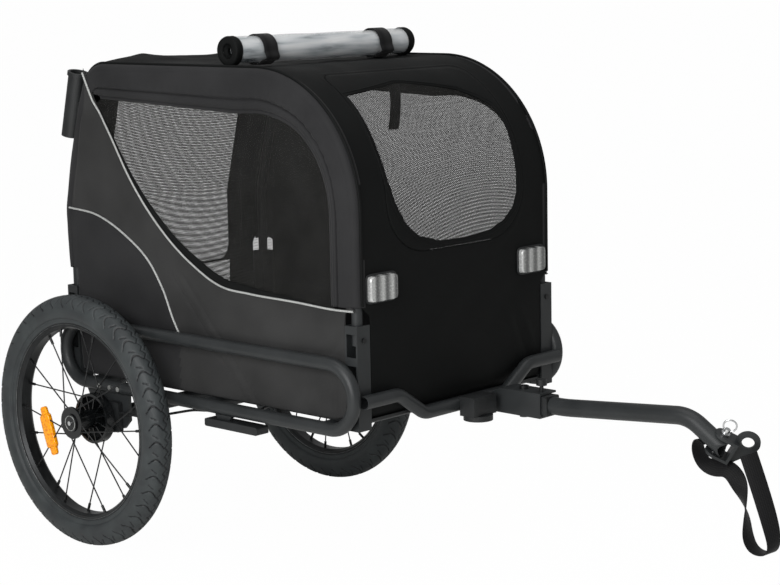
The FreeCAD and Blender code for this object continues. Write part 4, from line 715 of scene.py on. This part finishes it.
class TRAILER_OT_tyres(bpy.types.Operator):
    """Moulds both tyres: a stepped section turned about the axle, with grooves cut along its normal"""
    bl_idname = "trailer.tyres"
    bl_label = "Tyres"

    # Half the section: distances from the wheel's middle plane and from the axle
    HALF = ((0, 200), (6, 199.4), (11, 197.6), (15, 194.6), (18.2, 190.2), (20.6, 184.6), (21.9, 178),
            (21.6, 172), (20.2, 167.4), (18.6, 165.2), (16.9, 164.6), (16.4, 161), (15.2, 157.6),
            (12, 156.6))
    # Millimetres between two blocks, and across the slope of a groove's wall
    PITCH, WALL = 28.4, 0.7

    def execute(self, context):
        half = np.array(self.HALF)
        outline = flowing(np.vstack([half[::-1] * [-1, 1], half[1:]]), 84)
        run = run_of(outline)
        across = run - run[-1] / 2
        around = whole_turn(1100)
        cuts = self.grooves(around, across, sizes().tread_blocks)
        depth = sizes().tread_depth * 1000 * cuts
        normal = np.gradient(outline, axis=0)
        normal = np.stack([-normal[:, 1], normal[:, 0]], axis=-1)
        normal /= np.linalg.norm(normal, axis=1)[:, None]
        section = outline[None] - depth[..., None] * normal[None]
        for side, sign in SIDES:
            points = about(AXLE, section[..., 1], around[:, None], sign * (WHEEL_Y - section[..., 0]))
            tyre = lay(f"{side}_tyre_rubber", points, wrap_u=True, wrap_v=True, weld=True, sharp=60)
            # The groove depth is kept on the tyre for the painted shade in its grooves
            shade = tyre.data.attributes.new("groove", "FLOAT", "POINT")
            shade.data.foreach_set("value", cuts.ravel())
            dress(tyre, f"{side}_wheel", "tyre_black", replaces=(f"{side}_tyre",))
        return {"FINISHED"}

    def grooves(self, around, across, blocks):
        """Groove depth from 0 to 1: sickle-shaped cuts on the shoulders and a zigzag along the crown."""
        def cut(line, half_width):
            return np.clip((half_width - np.abs((line + 0.5) % 1 - 0.5) * self.PITCH) / self.WALL, 0, 1)

        turn = around[:, None] * blocks / (2 * np.pi)
        side, stagger = np.abs(across), 0.5 * (across < 0)
        sickle = cut(turn + stagger - 0.34 * np.sin(np.clip((side - 5) / 24, 0, 1) * np.pi), 1.6)
        hook = cut(turn + stagger + 0.42 - 0.02 * (side - 16), 1.4) * 0.8
        shoulder = np.maximum(sickle * ((side > 5) & (side < 30)), hook * ((side > 13) & (side < 24)))
        zigzag = np.abs(across - 3.2 * np.abs((turn * 2 + 0.5) % 1 - 0.5) * 4 + 3.2)
        return np.maximum(shoulder, np.clip((1.5 - zigzag) / self.WALL, 0, 1) * 0.8)


class TRAILER_OT_wheel_trim(bpy.types.Operator):
    """Adds the rim edges' painted highlight lines, hub rings and amber spoke reflectors"""
    bl_idname = "trailer.wheel_trim"
    bl_label = "Wheel trim"

    # Radius, and distance from the wheel's middle plane
    RIM_EDGE = (155.4, 14.3)
    HUB_RING = (11.6, 26.9)
    # Radius of both beads, in metres
    BEAD = 0.0006
    # The amber bar: from the axle, off the middle plane and round the wheel; half its length, and its step
    AMBER_OUT, AMBER_OFF, AMBER_TURN = 75, 14.5, math.radians(199)
    AMBER_HALF, AMBER_STEP = 39.5, 26.5

    def execute(self, context):
        around = whole_turn(160)
        for side, sign in SIDES:
            for face, way in (("outer", 1), ("inner", -1)):
                path = about(AXLE, self.RIM_EDGE[0], around, sign * (WHEEL_Y + way * self.RIM_EDGE[1]))
                # Each rim edge gets a thin grey bead: a painted highlight
                edge = tube(f"{side}_rim_{face}_edge", path, circle(self.BEAD, 6), closed=True)
                dress(edge, f"{side}_wheel", "rim_edge_highlight", slot="rim_black")
            path = about(AXLE, self.HUB_RING[0], around, sign * (WHEEL_Y + self.HUB_RING[1]))
            ring = tube(f"{side}_hub_ring", path, circle(self.BEAD, 8), closed=True)
            dress(ring, f"{side}_wheel", "zinc_steel")
            self.amber(side, sign)
        return {"FINISHED"}

    def amber(self, side, sign):
        """A bowed bar: half width 12 in the middle, stepping to 7.5 at the ends, its face crowned."""
        def squared(wave):
            return np.sign(wave) * np.abs(wave) ** 0.45

        along = np.linspace(-self.AMBER_HALF, self.AMBER_HALF, 81)[:, None]
        off = np.abs(along)
        half = 7.5 + 4.5 / (1 + np.exp((off - self.AMBER_STEP) / 0.8))
        half = half * np.clip(1 - ((off - 36) / 5).clip(0) ** 2, 0.3, 1)
        turn = whole_turn(32)
        out = self.AMBER_OUT + half * squared(np.cos(turn))
        height = 4.8 * squared(np.sin(turn)) * (1 - 0.25 * (along / self.AMBER_HALF) ** 2)
        height = height - 1.4 * (off >= self.AMBER_STEP) * (np.sin(turn) > 0)
        cosine, sine = math.cos(self.AMBER_TURN), math.sin(self.AMBER_TURN)
        points = place(AXLE[0] + out * cosine - along * sine, sign * (WHEEL_Y + self.AMBER_OFF + height),
                       AXLE[1] + out * sine + along * cosine)
        lens = lay(f"{side}_amber_lens", capped(points), wrap_v=True, weld=True)
        dress(lens, f"{side}_wheel", "amber_lens", replaces=(f"{side}_spoke_reflector",))


class TRAILER_OT_side_cloth(bpy.types.Operator):
    """Sews both sides of the cover: lower cloth, hoop band, netting, bindings and piping"""
    bl_idname = "trailer.side_cloth"
    bl_label = "Side cloth and windows"

    # Forward and up: the lower cloth's rear, bottom and front edges below the rear leg's bend
    EDGE = ((-70, 430), (-70, 300), (-66, 267), (-40, 262), (240, 262), (500, 262), (524, 268), (526, 300),
            (527, 410), (531, 430), (545, 424))

    def execute(self, context):
        window_line = flowing(WINDOW_PIPING, 181)
        for side, sign in SIDES:
            self.lower_cloth(side, sign, window_line)
            self.hoop_band(side, sign)
            self.rear_wrap(side, sign)
            self.netting(side, sign, window_line)
            self.piping(side, sign, window_line)
        return {"FINISHED"}

    @staticmethod
    def band_depth(run):
        """How far the hoop band reaches down from the hoop's middle line."""
        return np.interp(run, (480, 510, 833, 930, 1000, 1070, 1168, 1300), (38, 42, 55, 51, 44, 41, 39, 39))

    @staticmethod
    def fold_with(piece, side):
        """Bakes a piece's placement into its mesh; the side is not used."""
        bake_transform(piece)

    def lower_cloth(self, side, sign, window_line):
        """Ruled from the window piping to the cloth's rear, bottom and front edges, with slow creases."""
        leg = np.stack(hoop(np.linspace(*LEG_RUN, 40), 0.0), axis=-1)
        share = np.linspace(0, 1, 72)
        flat = ruled(window_line, evenly(np.vstack([leg, self.EDGE]), len(window_line)), share)
        x, z = flat[..., 0], flat[..., 1]
        rim = np.minimum(share, 1 - share) * 8
        swell = np.clip(rim, 0, 1) * (1.2 + ripple(x, z, 1.3 * sign + 2, 2.2))
        # The cloth is drawn in where the rail presses on it, and puckers at the front corner of the tub
        swell -= 3.0 * bump(z, 345, 13) * np.clip(rim * 2, 0, 1)
        # A pucker's height, what it runs across, its middle and width there, and its level and spread
        lean, slope = x - 0.6 * z, x - 0.9 * (430 - z)
        for height, line, middle, width, level, spread in (
                (3.2, x, 470, 16, 300, 30), (-3.6, x, 500, 10, 296, 34),
                (1.8, lean, 262, 9, 372, 14), (-1.6, lean, 284, 7, 366, 14)):
            swell += height * bump(line, middle, width) * bump(z, level, spread)
        for height, middle, width in ((-1.6, 170, 3), (-1.6, 196, 3), (1.2, 183, 8)):
            swell += height * bump(slope, middle, width) * (z < 440)
        # The rear seam holds the cloth flat, so that its piping stands clear; below it the cloth is softer
        seam, seam_end = flowing(REAR_PIPING, 60), REAR_PIPING[-1][0]
        swell *= 1 - 0.85 * bump(z - np.interp(x, *seam.T), 0, 14) * (x < seam_end)
        x, z = np.moveaxis((flat[:-1, :-1] + flat[1:, 1:]) / 2, -1, 0)
        rear = (x < seam_end) & (z < np.interp(x, *seam.T))
        points = upright(flat, sign * (SIDE_Y - 0.6 + swell))
        cloth = lay(f"{side}_lower_cloth", points, flat / 1000, weld=True, kinds=rear.astype(int),
                    thick=sizes().cloth_thickness)
        dress(cloth, None, "charcoal_fabric", "soft_black", replaces=(f"{side}_side_panel",))
        self.fold_with(cloth, side)

    def hoop_band(self, side, sign):
        """Padded band round the window: over the hoop tube, then down the side with two sewn channels."""
        run = np.linspace(*BAND_RUN, 260)[:, None]
        share = np.linspace(0, 1, 44)[None]
        depth = self.band_depth(run)
        reach = HOOP_Y - 6 + share * (6 + QUARTER + depth)
        down = np.clip((reach - HOOP_Y - QUARTER) / depth, 0, 1)
        puff = 3.4 * np.sin(np.pi * down) ** 0.8 + 1.6 * bump(down, 0.77, 0.09)
        seams = 4.2 * bump(down, 0.62, 0.035) + 2.6 * bump(down, 0.9, 0.03)
        # Short puckers run off the seam, and are deepest on the front bend
        pucker = np.sin(run / 3.1 + 2 * np.sin(run / 37)) * bump(down, 0.5, 0.16)
        pucker = pucker * (0.15 + 0.8 * bump(run, 1010, 130))
        crease = (ripple(run * 1.4, reach * 2, 0.7 * sign, 0.8) + pucker) * np.sin(np.pi * down)
        points = cover(run, sign * reach)
        points[..., 1] += sign * (puff - seams + crease) / 1000
        band = lay(f"{side}_hoop_band", points, flat_uv(points), weld=True, thick=sizes().cloth_thickness)
        dress(band, f"{side}_cover_side", "soft_black", slot="charcoal_fabric")

    @staticmethod
    def rear_wrap(side, sign):
        """Cloth turned round the rear leg from the side on to the back."""
        run = np.linspace(*WRAP_RUN, 70)[:, None]
        reach = np.linspace(HOOP_Y - 6, HOOP_Y + QUARTER + 2, 20)[None]
        points = cover(run, sign * reach, ripple(run * 2, reach, 1.1, 0.4))
        # The leg leans forward above its bend, and the cloth stands off behind it
        stand = np.interp(run, (180, 230, 270, 340, 400, 450, 486), (2, 7, 10, 14, 14, 8, 0))
        points[..., 0] -= stand / 1000 * np.clip((HOOP_Y + QUARTER - reach) / QUARTER, 0, 1)
        wrap = lay(f"{side}_rear_wrap", points, flat_uv(points), weld=True, thick=sizes().cloth_thickness)
        dress(wrap, f"{side}_cover_side", "soft_black", slot="charcoal_fabric")

    def netting(self, side, sign, window_line):
        """Netting ruled from the window piping to the band's inner edge, and a binding along the piping."""
        inner = window_line[(window_line[:, 0] > -9) & (window_line[:, 0] < 505)]
        lower = evenly(inner, 150)
        run = np.linspace(*NET_RUN, 400)
        upper = evenly(np.stack(hoop(run, 2 - self.band_depth(run)), axis=-1), 150)
        share = np.linspace(0, 1, 60)
        flat = ruled(lower, upper, share)
        dip = 2.0 * np.sin(np.pi * share)
        net = lay(f"{side}_window_net", upright(flat, sign * (SIDE_Y - 1.2 - dip)), flat / 1000, weld=True,
                  thick=sizes().net_thickness)
        dress(net, f"{side}_cover_side", "dark_mesh", replaces=(f"{side}_side_window",))
        hem = ruled(lower[4:-4], upper[4:-4], np.linspace(0, 0.052, 5))
        points = upright(hem, sign * (SIDE_Y + 0.3))
        bound = lay(f"{side}_window_binding", points, flat_uv(points), thick=sizes().cloth_thickness)
        dress(bound, f"{side}_cover_side", "black_fabric")

    def piping(self, side, sign, window_line):
        """Round cords of reflective tape sewn into the two seams of the side."""
        radius = sizes().piping_radius
        seams = (("window", window_line[2:-1], False), ("rear", flowing(REAR_PIPING, 90), True))
        for name, line, free in seams:
            over_band = 3.6 * np.clip((line[:, 1] - 682) / 18, 0, 1)
            path = upright(line, sign * (SIDE_Y + 1.2 + over_band))
            cord = tube(f"{side}_{name}_piping", path, circle(radius, 8))
            dress(cord, None if free else f"{side}_cover_side", "piping", slot="clear_lens")
            if free:
                self.fold_with(cord, side)


class TRAILER_OT_roof(bpy.types.Operator):
    """Stretches the roof between the hoops, sagging as a parabola across, with a welt along each edge"""
    bl_idname = "trailer.roof"
    bl_label = "Roof"

    def execute(self, context):
        run = np.linspace(*ROOF_RUN, 150)[:, None]
        across = np.linspace(-HOOP_Y - 3, HOOP_Y + 3, 110)[None]
        slack = np.clip(1 - (across / HOOP_Y) ** 2, 0, 1)
        sag = -sizes().roof_sag * 1000 * np.clip((run - 640) / 120, 0, 1)
        sag = sag + ripple(run * 1.3, across * 1.2, 0.4, 2.6)
        # Slack cloth stands up along the rear edge, highest in a fold near the right hoop
        stand = np.interp(across, (-207, -192, -170, -148, -125, -103, -81, -59, -36, 8, 52, 110, 160, 207),
                          (0, 3, 6, 8, 11, 8, 6, 5, 4.5, 6, 7, 7, 5, 0))
        stand = stand * np.interp(run, (470, 500, 530, 640, 740), (0, 1, 1, 0.3, 0))
        points = cover(run, across, 0.8)
        points[..., 2] += (sag * slack + stand) / 1000
        roof = lay("roof_cloth", points, flat_uv(points), thick=sizes().cloth_thickness)
        dress(roof, "chassis", "black_fabric", replaces=("roof_panel",))
        crumple(roof)
        for side, sign in SIDES:
            path = cover(np.linspace(*WELT_RUN, 260), sign * (HOOP_Y + 1.0), 1.6)
            welt = tube(f"{side}_roof_welt", path, circle(WELT, 8))
            dress(welt, f"{side}_cover_side", "black_fabric")
        return {"FINISHED"}


class TRAILER_OT_front(bpy.types.Operator):
    """Makes the front cloth with its netting door and the tie that hangs behind it"""
    bl_idname = "trailer.front"
    bl_label = "Front cloth and door"

    # Distance along the hoop line and across: round the netting and the cloth, and the door's box and bends
    NET = ((993, -146), (1013, -146), (1045, -147), (1083, -148), (1122, -145), (1157, -134), (1189, -112),
           (1209, -86), (1221, -39), (1222, 17), (1217, 74), (1205, 106), (1188, 127), (1164, 136),
           (1138, 138), (1106, 140), (1076, 143), (1051, 142), (1033, 135), (1016, 115), (998, 85),
           (986, 41), (976, -6), (974, -26), (981, -64), (987, -101))
    EDGE = ((866, -207), (1296, -207), (1312, -190), (1462, -190), (1462, 190), (1312, 190),
            (1296, 207), (866, 207))
    DOOR = ((938, -152), (1232, 152), (24, 80, 80, 24))
    MIDDLE = np.array([1098.0, 0.0])
    # Cosine and sine of the netting's turn
    TURN = (0.9, 0.436)
    # The tie's top, forward, across and up, then its length and half its width
    TIE_TOP = (452, -24, 728)
    TIE_LENGTH, TIE_HALF = 68, 10.5

    def execute(self, context):
        angles = np.linspace(-np.pi, np.pi, 301)[:-1]
        door, outer, net = (ring_outline(line, self.MIDDLE, angles) for line in (
            rounded_box(*self.DOOR), dense(self.EDGE), dense(self.NET)))
        self.panel(door, outer)
        self.door(door, net)
        self.tie()
        return {"FINISHED"}

    @staticmethod
    def settle(piece):
        """Gives a piece of the front a mesh of its own."""
        crumple(piece)

    def panel(self, door, outer):
        """A ring of cloth from the door to the hoops and the floor: slow creases, a belly, a tucked hem."""
        share = np.linspace(0, 1, 60)
        grid = ruled(door, outer, share)
        run, across = grid[..., 0], grid[..., 1]
        lift = ripple(run, across * 1.3, 2.2, 1.6) * np.sin(np.pi * share) + 0.7 * bump(share, 0.05, 0.04)
        lift = lift + 3.0 * bump(run, 1368, 40) * np.clip(1 - (across / 190) ** 2, 0, 1)
        lift = lift - 8.0 * np.clip((run - 1428) / 34, 0, 1) ** 2
        # Slack gathers in slanting folds at the left foot
        slant = across - 0.5 * (run - 1400)
        for height, middle, width in ((2.6, 168, 7), (-2.4, 152, 6), (1.6, 136, 7)):
            lift = lift + height * bump(slant, middle, width) * bump(run, 1400, 45)
        cloth = lay("front_cloth", cover(run, across, lift), grid / 1000, wrap_u=True,
                    thick=sizes().cloth_thickness)
        dress(cloth, "chassis", "black_fabric", replaces=("front_panel",))
        self.settle(cloth)

    def door(self, door, net):
        """The door: a bound border and the netting inside it, drawn slightly out by the zip."""
        share = np.linspace(0, 1, 8)
        grid = ruled(net, drawn_to(door, self.MIDDLE, 0.996), share)
        points = cover(grid[..., 0], grid[..., 1], 0.6 + 0.6 * np.sin(np.pi * share))
        border = lay("front_door_border", points, grid / 1000, wrap_u=True, thick=sizes().cloth_thickness)
        dress(border, "front_door", "black_fabric", replaces=("front_door",))
        share = np.linspace(0, 1.03, 26)
        grid = drawn_to(net[:, None], self.MIDDLE, share[:, None])
        run, across = grid[..., 0], grid[..., 1]
        points = cover(run, across, 0.2 + 1.0 * (1 - share**2) + ripple(run, across, 4, 0.6))
        mesh = lay("front_door_net", points, bias(grid, *self.TURN) / 1000, wrap_u=True, weld=True,
                   thick=sizes().net_thickness)
        dress(mesh, "front_door", "dark_mesh")
        # A corded seam runs just outside the netting
        ring = cover(*drawn_to(net, self.MIDDLE, 1.045).T, 1.2)
        seam = tube("front_door_seam", ring, circle(SEAM, 8), (0.6, 0, 0.8), closed=True)
        dress(seam, "front_door", "black_fabric")
        for piece in (border, mesh, seam):
            self.settle(piece)

    def tie(self):
        """Webbing tie that hangs from the top of the door behind the netting in a shallow sine wave."""
        x, y, z = self.TIE_TOP
        drop = np.linspace(0, self.TIE_LENGTH, 30)[:, None]
        width = np.linspace(-self.TIE_HALF, self.TIE_HALF, 6)[None]
        points = place(x + 3 * np.sin(drop / 21), y + width - 0.05 * drop, z - drop)
        strap = lay("door_tie", points, flat_uv(points), thick=TIE)
        dress(strap, "chassis", "black_webbing")
        self.settle(strap)


class TRAILER_OT_rear(bpy.types.Operator):
    """Makes the netting back with its door and the low wall under it"""
    bl_idname = "trailer.rear"
    bl_label = "Rear panel and door"

    # Distance along the hoop line and across: round the cloth, the opening under the door, and the boxes and
    # bends of the door and its window
    EDGE = ((98, -191), (176, -191), (190, -201), (466, -201), (466, 201), (190, 201), (176, 191), (98, 191))
    BELOW = ((102, -134), (420, -134), (420, 134), (102, 134))
    DOOR = ((151, -165), (455, 165), (50, 50, 20, 20))
    WINDOW = ((149, -134), (449, 134), (6, 6, 34, 34))
    MIDDLE = np.array([302.0, 0.0])
    # Cosine and sine of the nettings' turn
    TURN = (math.cos(math.radians(14)), math.sin(math.radians(14)))

    def execute(self, context):
        angles = np.linspace(-np.pi, np.pi, 361)[:-1]
        door, below, outer, window = (ring_outline(line, self.MIDDLE, angles) for line in (
            rounded_box(*self.DOOR), dense(self.BELOW), dense(self.EDGE), rounded_box(*self.WINDOW)))
        self.panel(np.where(self.reach(door) > self.reach(below), door, below), outer)
        narrow = drawn_to(door, self.MIDDLE, 0.985)
        self.door(door, np.where(self.reach(window) < self.reach(narrow), window, narrow))
        self.low_wall()
        return {"FINISHED"}

    def reach(self, line):
        """Distance of each point from the middle."""
        return np.linalg.norm(line - self.MIDDLE, axis=1, keepdims=True)

    @staticmethod
    def ring(name, inner, outer, steps, lift):
        """Flat cloth between two outlines about the same middle."""
        grid = ruled(inner, outer, np.linspace(0, 1, steps))
        return lay(name, cover(grid[..., 0], grid[..., 1], lift), grid / 1000, wrap_u=True,
                   thick=sizes().net_thickness)

    def panel(self, opening, outer):
        """A ring of cloth round the opening, and the strip of netting that shows below the door."""
        border = self.ring("rear_cloth", opening, outer, 16, 0.4)
        dress(border, "chassis", "black_fabric", replaces=("rear_panel",))
        crumple(border)
        points = cover(np.linspace(100, 157, 20)[:, None], np.linspace(-137, 137, 60), 0.1)
        low_net = lay("rear_low_net", points, bias(flat_uv(points), *self.TURN), thick=sizes().net_thickness)
        dress(low_net, "chassis", "dark_mesh")
        crumple(low_net)

    def door(self, door, window):
        """The door: a border, netting that bulges as a parabola from the middle, and a zip round it."""
        inset = drawn_to(door, self.MIDDLE, 0.995)
        edge = self.ring("rear_door_border", window, inset, 8, 0.8)
        dress(edge, "rear_door", "black_fabric", replaces=("rear_door",))
        crumple(edge)
        share = np.linspace(0, 1.01, 30)
        grid = drawn_to(window[:, None], self.MIDDLE, share[:, None])
        points = cover(grid[..., 0], grid[..., 1], 0.6 + 1.2 * (1 - share**2))
        net = lay("rear_door_net", points, bias(grid / 1000, *self.TURN), wrap_u=True, weld=True,
                  thick=sizes().net_thickness)
        dress(net, "rear_door", "dark_mesh")
        crumple(net)
        zipper = tube("rear_door_zip", cover(*inset.T, 1.6), circle(ZIP, 8), (1, 0, 0.2), closed=True)
        dress(zipper, "rear_door", "black_webbing")
        crumple(zipper)

    @staticmethod
    def low_wall():
        """Upright cloth that bellies back as half a sine wave down its height, with slow creases."""
        top, foot, half = 352, 262, 192
        y = np.linspace(-half, half, 60)[:, None]
        z = np.linspace(top, foot, 30)[None]
        fall = (top - z) / (top - foot)
        x = -94.6 - 4 * np.sin(np.pi * fall) * np.clip(1 - (y / 200) ** 4, 0, 1) + ripple(y, z, 3.3, 0.8)
        points = place(x, y, z)
        wall = lay("rear_low_wall", points, points[..., 1:], thick=sizes().cloth_thickness)
        dress(wall, "chassis", "black_fabric", replaces=("tub_walls",))


class TRAILER_OT_rain_cover(bpy.types.Operator):
    """Rolls the clear rain cover to a spiral on the roof and straps it down"""
    bl_idname = "trailer.rain_cover"
    bl_label = "Rolled rain cover"

    # The roll's middle line, forward and up, and its end hems' section: outwards, and away from that line
    ROLL = (275.0, 779.3)
    LIP = np.array([(0, 12.5), (1.2, 11.4), (2.6, 12.2), (3.0, 14), (3.2, 19.5), (2.4, 21.2), (0.6, 21.9),
                    (-3, 21.7), (-7, 21.9), (-9.5, 21.0), (-9.6, 19.0)])
    # Across to a hem and to a strap, and up to the roof under the roll
    HEM_Y, STRAP_Y, ROOF_Z = 190, 125, 757.6
    # Width of a strap in metres, and where round the roll its ends are pinched
    STRAP_WIDTH, PINCH = 0.028, math.radians(335)

    def execute(self, context):
        half = self.HEM_Y - 2
        y = np.linspace(-half, half, 150)[:, None]
        whole = 8 * np.pi
        turn = np.linspace(0, whole, 200)
        # Four turns of film, 1.6 mm a turn, each a little out of round along the roll
        r = 14.4 + 6.4 * turn / whole + 0.35 * np.sin(3 * turn + y / 60) + 0.3 * np.sin(y / 17 + turn)
        points = about(self.ROLL, r, turn + 2.4, y)
        film = lay("rain_film", points, flat_uv(points))
        dress(film, "chassis", "clear_vinyl", replaces=("rain_cover_roll",))
        crumple(film)
        self.bindings()
        self.straps()
        return {"FINISHED"}

    def bindings(self):
        """Hems at the roll's ends: a soft ring with a rolled lip and the film's turns inside it."""
        turn = whole_turn(64)[:, None]
        coiled = np.linspace(0, 5 * 2 * np.pi, 240)[:, None]
        coil_edges = self.HEM_Y + np.array([-8, -1])
        for side, sign in SIDES:
            soft = 1 + 0.02 * np.sin(3 * turn + sign)
            points = about(self.ROLL, self.LIP[:, 1] * soft, turn, sign * (self.HEM_Y + self.LIP[:, 0]))
            hem = lay(f"{side}_roll_binding", points, wrap_u=True, weld=True, sharp=60, thick=HEM)
            dress(hem, "chassis", "black_fabric", slot="black_webbing",
                  replaces=("rain_cover_bindings",) if side == "right" else ())
            crumple(hem)
            points = about(self.ROLL, 5 + 8 * coiled / coiled.max(), coiled, sign * coil_edges)
            coil = lay(f"{side}_roll_coil", points, thick=COIL)
            dress(coil, "chassis", "black_fabric", slot="black_webbing")
            crumple(coil)

    def straps(self):
        """Webbing round the roll, pinched to a fold in front where its two ends meet."""
        turn = whole_turn(96)
        from_pinch = (turn - self.PINCH + np.pi) % (2 * np.pi) - np.pi
        band = rounded_band(self.STRAP_WIDTH, WEBBING)[:, ::-1]
        for side, sign in SIDES:
            path = about(self.ROLL, 22.6 + 6.0 * bump(from_pinch, 0, 0.22), turn, sign * self.STRAP_Y)
            # The roof holds the band flat below the roll
            path[:, 2] = np.maximum(path[:, 2], self.ROOF_Z / 1000)
            strap = tube(f"{side}_roll_strap", path, band, closed=True)
            dress(strap, "chassis", "black_webbing",
                  replaces=("rain_cover_straps",) if side == "right" else ())
            crumple(strap)


class TRAILER_OT_reflectors(bpy.types.Operator):
    """Fits the clear front reflectors: rounded squares of the eighth power with upright prism bands"""
    bl_idname = "trailer.reflectors"
    bl_label = "Front reflectors"

    # Forward, across and up to the middle of a lens's back, then half its width and height, and its depth
    LENS = (550.8, 167, 451)
    HALF = (29, 19)
    DEPTH = 10.3

    def execute(self, context):
        even = np.linspace(-1, 1, 101)
        close = np.sign(even) * (1 - (1 - np.abs(even)) ** 2.4)
        u, v = np.meshgrid(close, close, indexing="ij")
        edge = np.maximum(np.abs(u), np.abs(v))
        round_off = edge / np.maximum((u**8 + v**8) ** 0.125, 1e-6)
        across, up = self.HALF[0] * u * round_off, self.HALF[1] * v * round_off
        wall = np.sqrt(np.clip(1 - edge**30, 0, 1))
        # Upright prism bands are cut into the face inside a plain border
        bands = 1.1 * np.abs(np.sin(np.pi * across / PRISM)) * np.clip((0.9 - edge) / 0.04, 0, 1)
        around = whole_turn(120)
        square = (np.abs(np.cos(around)) ** 8 + np.abs(np.sin(around)) ** 8) ** -0.125
        rim_across, rim_up = (half + 1 for half in self.HALF)
        for side, sign in SIDES:
            x, y, z = self.LENS[0], sign * self.LENS[1], self.LENS[2]
            face, back = (place(x + form - 0.0012 * across**2, y + across, z + up)
                          for form in (self.DEPTH * wall - bands, 0 * wall))
            lens = lay(f"{side}_front_lens", np.concatenate([face, back[::-1]]), wrap_u=True, weld=True,
                       sharp=50)
            dress(lens, f"{side}_cover_side", "clear_lens", replaces=(f"{side}_front_reflector",))
            path = place(x + 0.8, y + rim_across * square * np.cos(around),
                         z + rim_up * square * np.sin(around))
            rim = tube(f"{side}_front_lens_rim", path, circle(LENS_RIM, 8), (1, 0, 0), closed=True)
            dress(rim, f"{side}_cover_side", "moulded_black")
        return {"FINISHED"}


class TRAILER_OT_stage(bpy.types.Operator):
    """Sets up the pale floor, the white surround and the soft lights"""
    bl_idname = "trailer.stage"
    bl_label = "Stage and light"

    # Metres from the floor's middle to its edge, and up to its face, which clears the tyres
    FLOOR_HALF, FLOOR_Z = 60, -0.0005
    # A light's name, where it stands, what it faces and the width of its face, in metres
    LIGHTS = (("key", (0.55, -1.7, 1.0), (0, 0, 0.35), 1.2),
              ("fill", (2.6, 0.8, 1.6), (0.1, 0, 0.4), 2.0),
              ("top", (0.2, -0.3, 2.9), (0, 0, 0.4), 2.4))

    def execute(self, context):
        studio = context.scene.trailer_studio
        spread = np.linspace(-self.FLOOR_HALF, self.FLOOR_HALF, 9)
        u, v = np.meshgrid(spread, spread, indexing="ij")
        floor = lay("floor", np.stack([u, v, 0 * u + self.FLOOR_Z], axis=-1))
        floor.data.materials.append(self.pale_floor(studio))
        self.surround(context.scene, studio)
        for name, spot, aim, size in self.LIGHTS:
            lamp = bpy.data.lights.new(name, "AREA")
            lamp.energy, lamp.size, lamp.shape = getattr(studio, f"{name}_power"), size, "SQUARE"
            stand = bpy.data.objects.new(name, lamp)
            stand.location = spot
            stand.rotation_euler = (Vector(aim) - Vector(spot)).to_track_quat("-Z", "Y").to_euler()
            context.scene.collection.objects.link(stand)
        context.scene.view_settings.view_transform = "Standard"
        return {"FINISHED"}

    @staticmethod
    def seen(tree):
        """One for rays that look straight at the background: from the camera, or through glass."""
        rays = add(tree, "ShaderNodeLightPath")
        return add(tree, "ShaderNodeMath", {0: rays["Is Camera Ray"], 1: rays["Is Transmission Ray"]},
                   operation="MAXIMUM")[0]

    def pale_floor(self, studio):
        # Seamless white paper: pale and even, with only the object's soft shadow on it.
        made, tree = begin("seamless paper")
        paper = add(tree, "ShaderNodeBsdfPrincipled", {"Base Color": hexed("#f2f2f0"), "Roughness": 0.9})[0]
        glow = add(tree, "ShaderNodeEmission", {"Color": (*studio.backdrop, 1), "Strength": 1.0})[0]
        share = add(tree, "ShaderNodeMath", {0: self.seen(tree), 1: 0.985}, operation="MULTIPLY")[0]
        mixed = add(tree, "ShaderNodeMixShader", {"Fac": share, 1: paper, 2: glow})[0]
        add(tree, "ShaderNodeOutputMaterial", {"Surface": mixed})
        return made

    def surround(self, scene, studio):
        """A white world that lights the trailer dimly, and shows the backdrop where it is looked at."""
        world = bpy.data.worlds.new("white surround")
        scene.world = world
        world.use_nodes = True
        tree = world.node_tree
        tree.nodes.clear()
        dim = add(tree, "ShaderNodeBackground", {"Color": (1, 1, 1, 1), "Strength": 0.4})[0]
        white = add(tree, "ShaderNodeBackground", {"Color": (*studio.backdrop, 1), "Strength": 1.0})[0]
        mixed = add(tree, "ShaderNodeMixShader", {"Fac": self.seen(tree), 1: dim, 2: white})[0]
        add(tree, "ShaderNodeOutputWorld", {"Surface": mixed})


class TRAILER_PT_build(bpy.types.Panel):
    """Lists the trailer's pieces"""
    bl_idname = "TRAILER_PT_build"
    bl_label = "Dog Bike Trailer"
    bl_space_type = "VIEW_3D"
    bl_region_type = "UI"
    bl_category = "Trailer"

    def draw(self, context):
        for group in (context.scene.trailer_sizes, context.scene.trailer_studio):
            box = self.layout.box()
            for name in group.__annotations__:
                box.prop(group, name)
        for operator in OPERATORS:
            self.layout.operator(operator.bl_idname)


OPERATORS = (
    TRAILER_OT_camera, TRAILER_OT_safety_strap, TRAILER_OT_metalwork, TRAILER_OT_tyres,
    TRAILER_OT_wheel_trim, TRAILER_OT_side_cloth, TRAILER_OT_roof, TRAILER_OT_front, TRAILER_OT_rear,
    TRAILER_OT_rain_cover, TRAILER_OT_reflectors, TRAILER_OT_stage)
CLASSES = (TrailerSizes, TrailerStudio) + OPERATORS + (TRAILER_PT_build,)


def register():
    for kind in CLASSES:
        bpy.utils.register_class(kind)
    bpy.types.Scene.trailer_sizes = bpy.props.PointerProperty(type=TrailerSizes)
    bpy.types.Scene.trailer_studio = bpy.props.PointerProperty(type=TrailerStudio)


def unregister():
    del bpy.types.Scene.trailer_studio
    del bpy.types.Scene.trailer_sizes
    for kind in reversed(CLASSES):
        bpy.utils.unregister_class(kind)


def main():
    register()
    for operator in OPERATORS:
        group, name = operator.bl_idname.split(".")
        getattr(getattr(bpy.ops, group), name)()


if __name__ == "__main__":
    main()
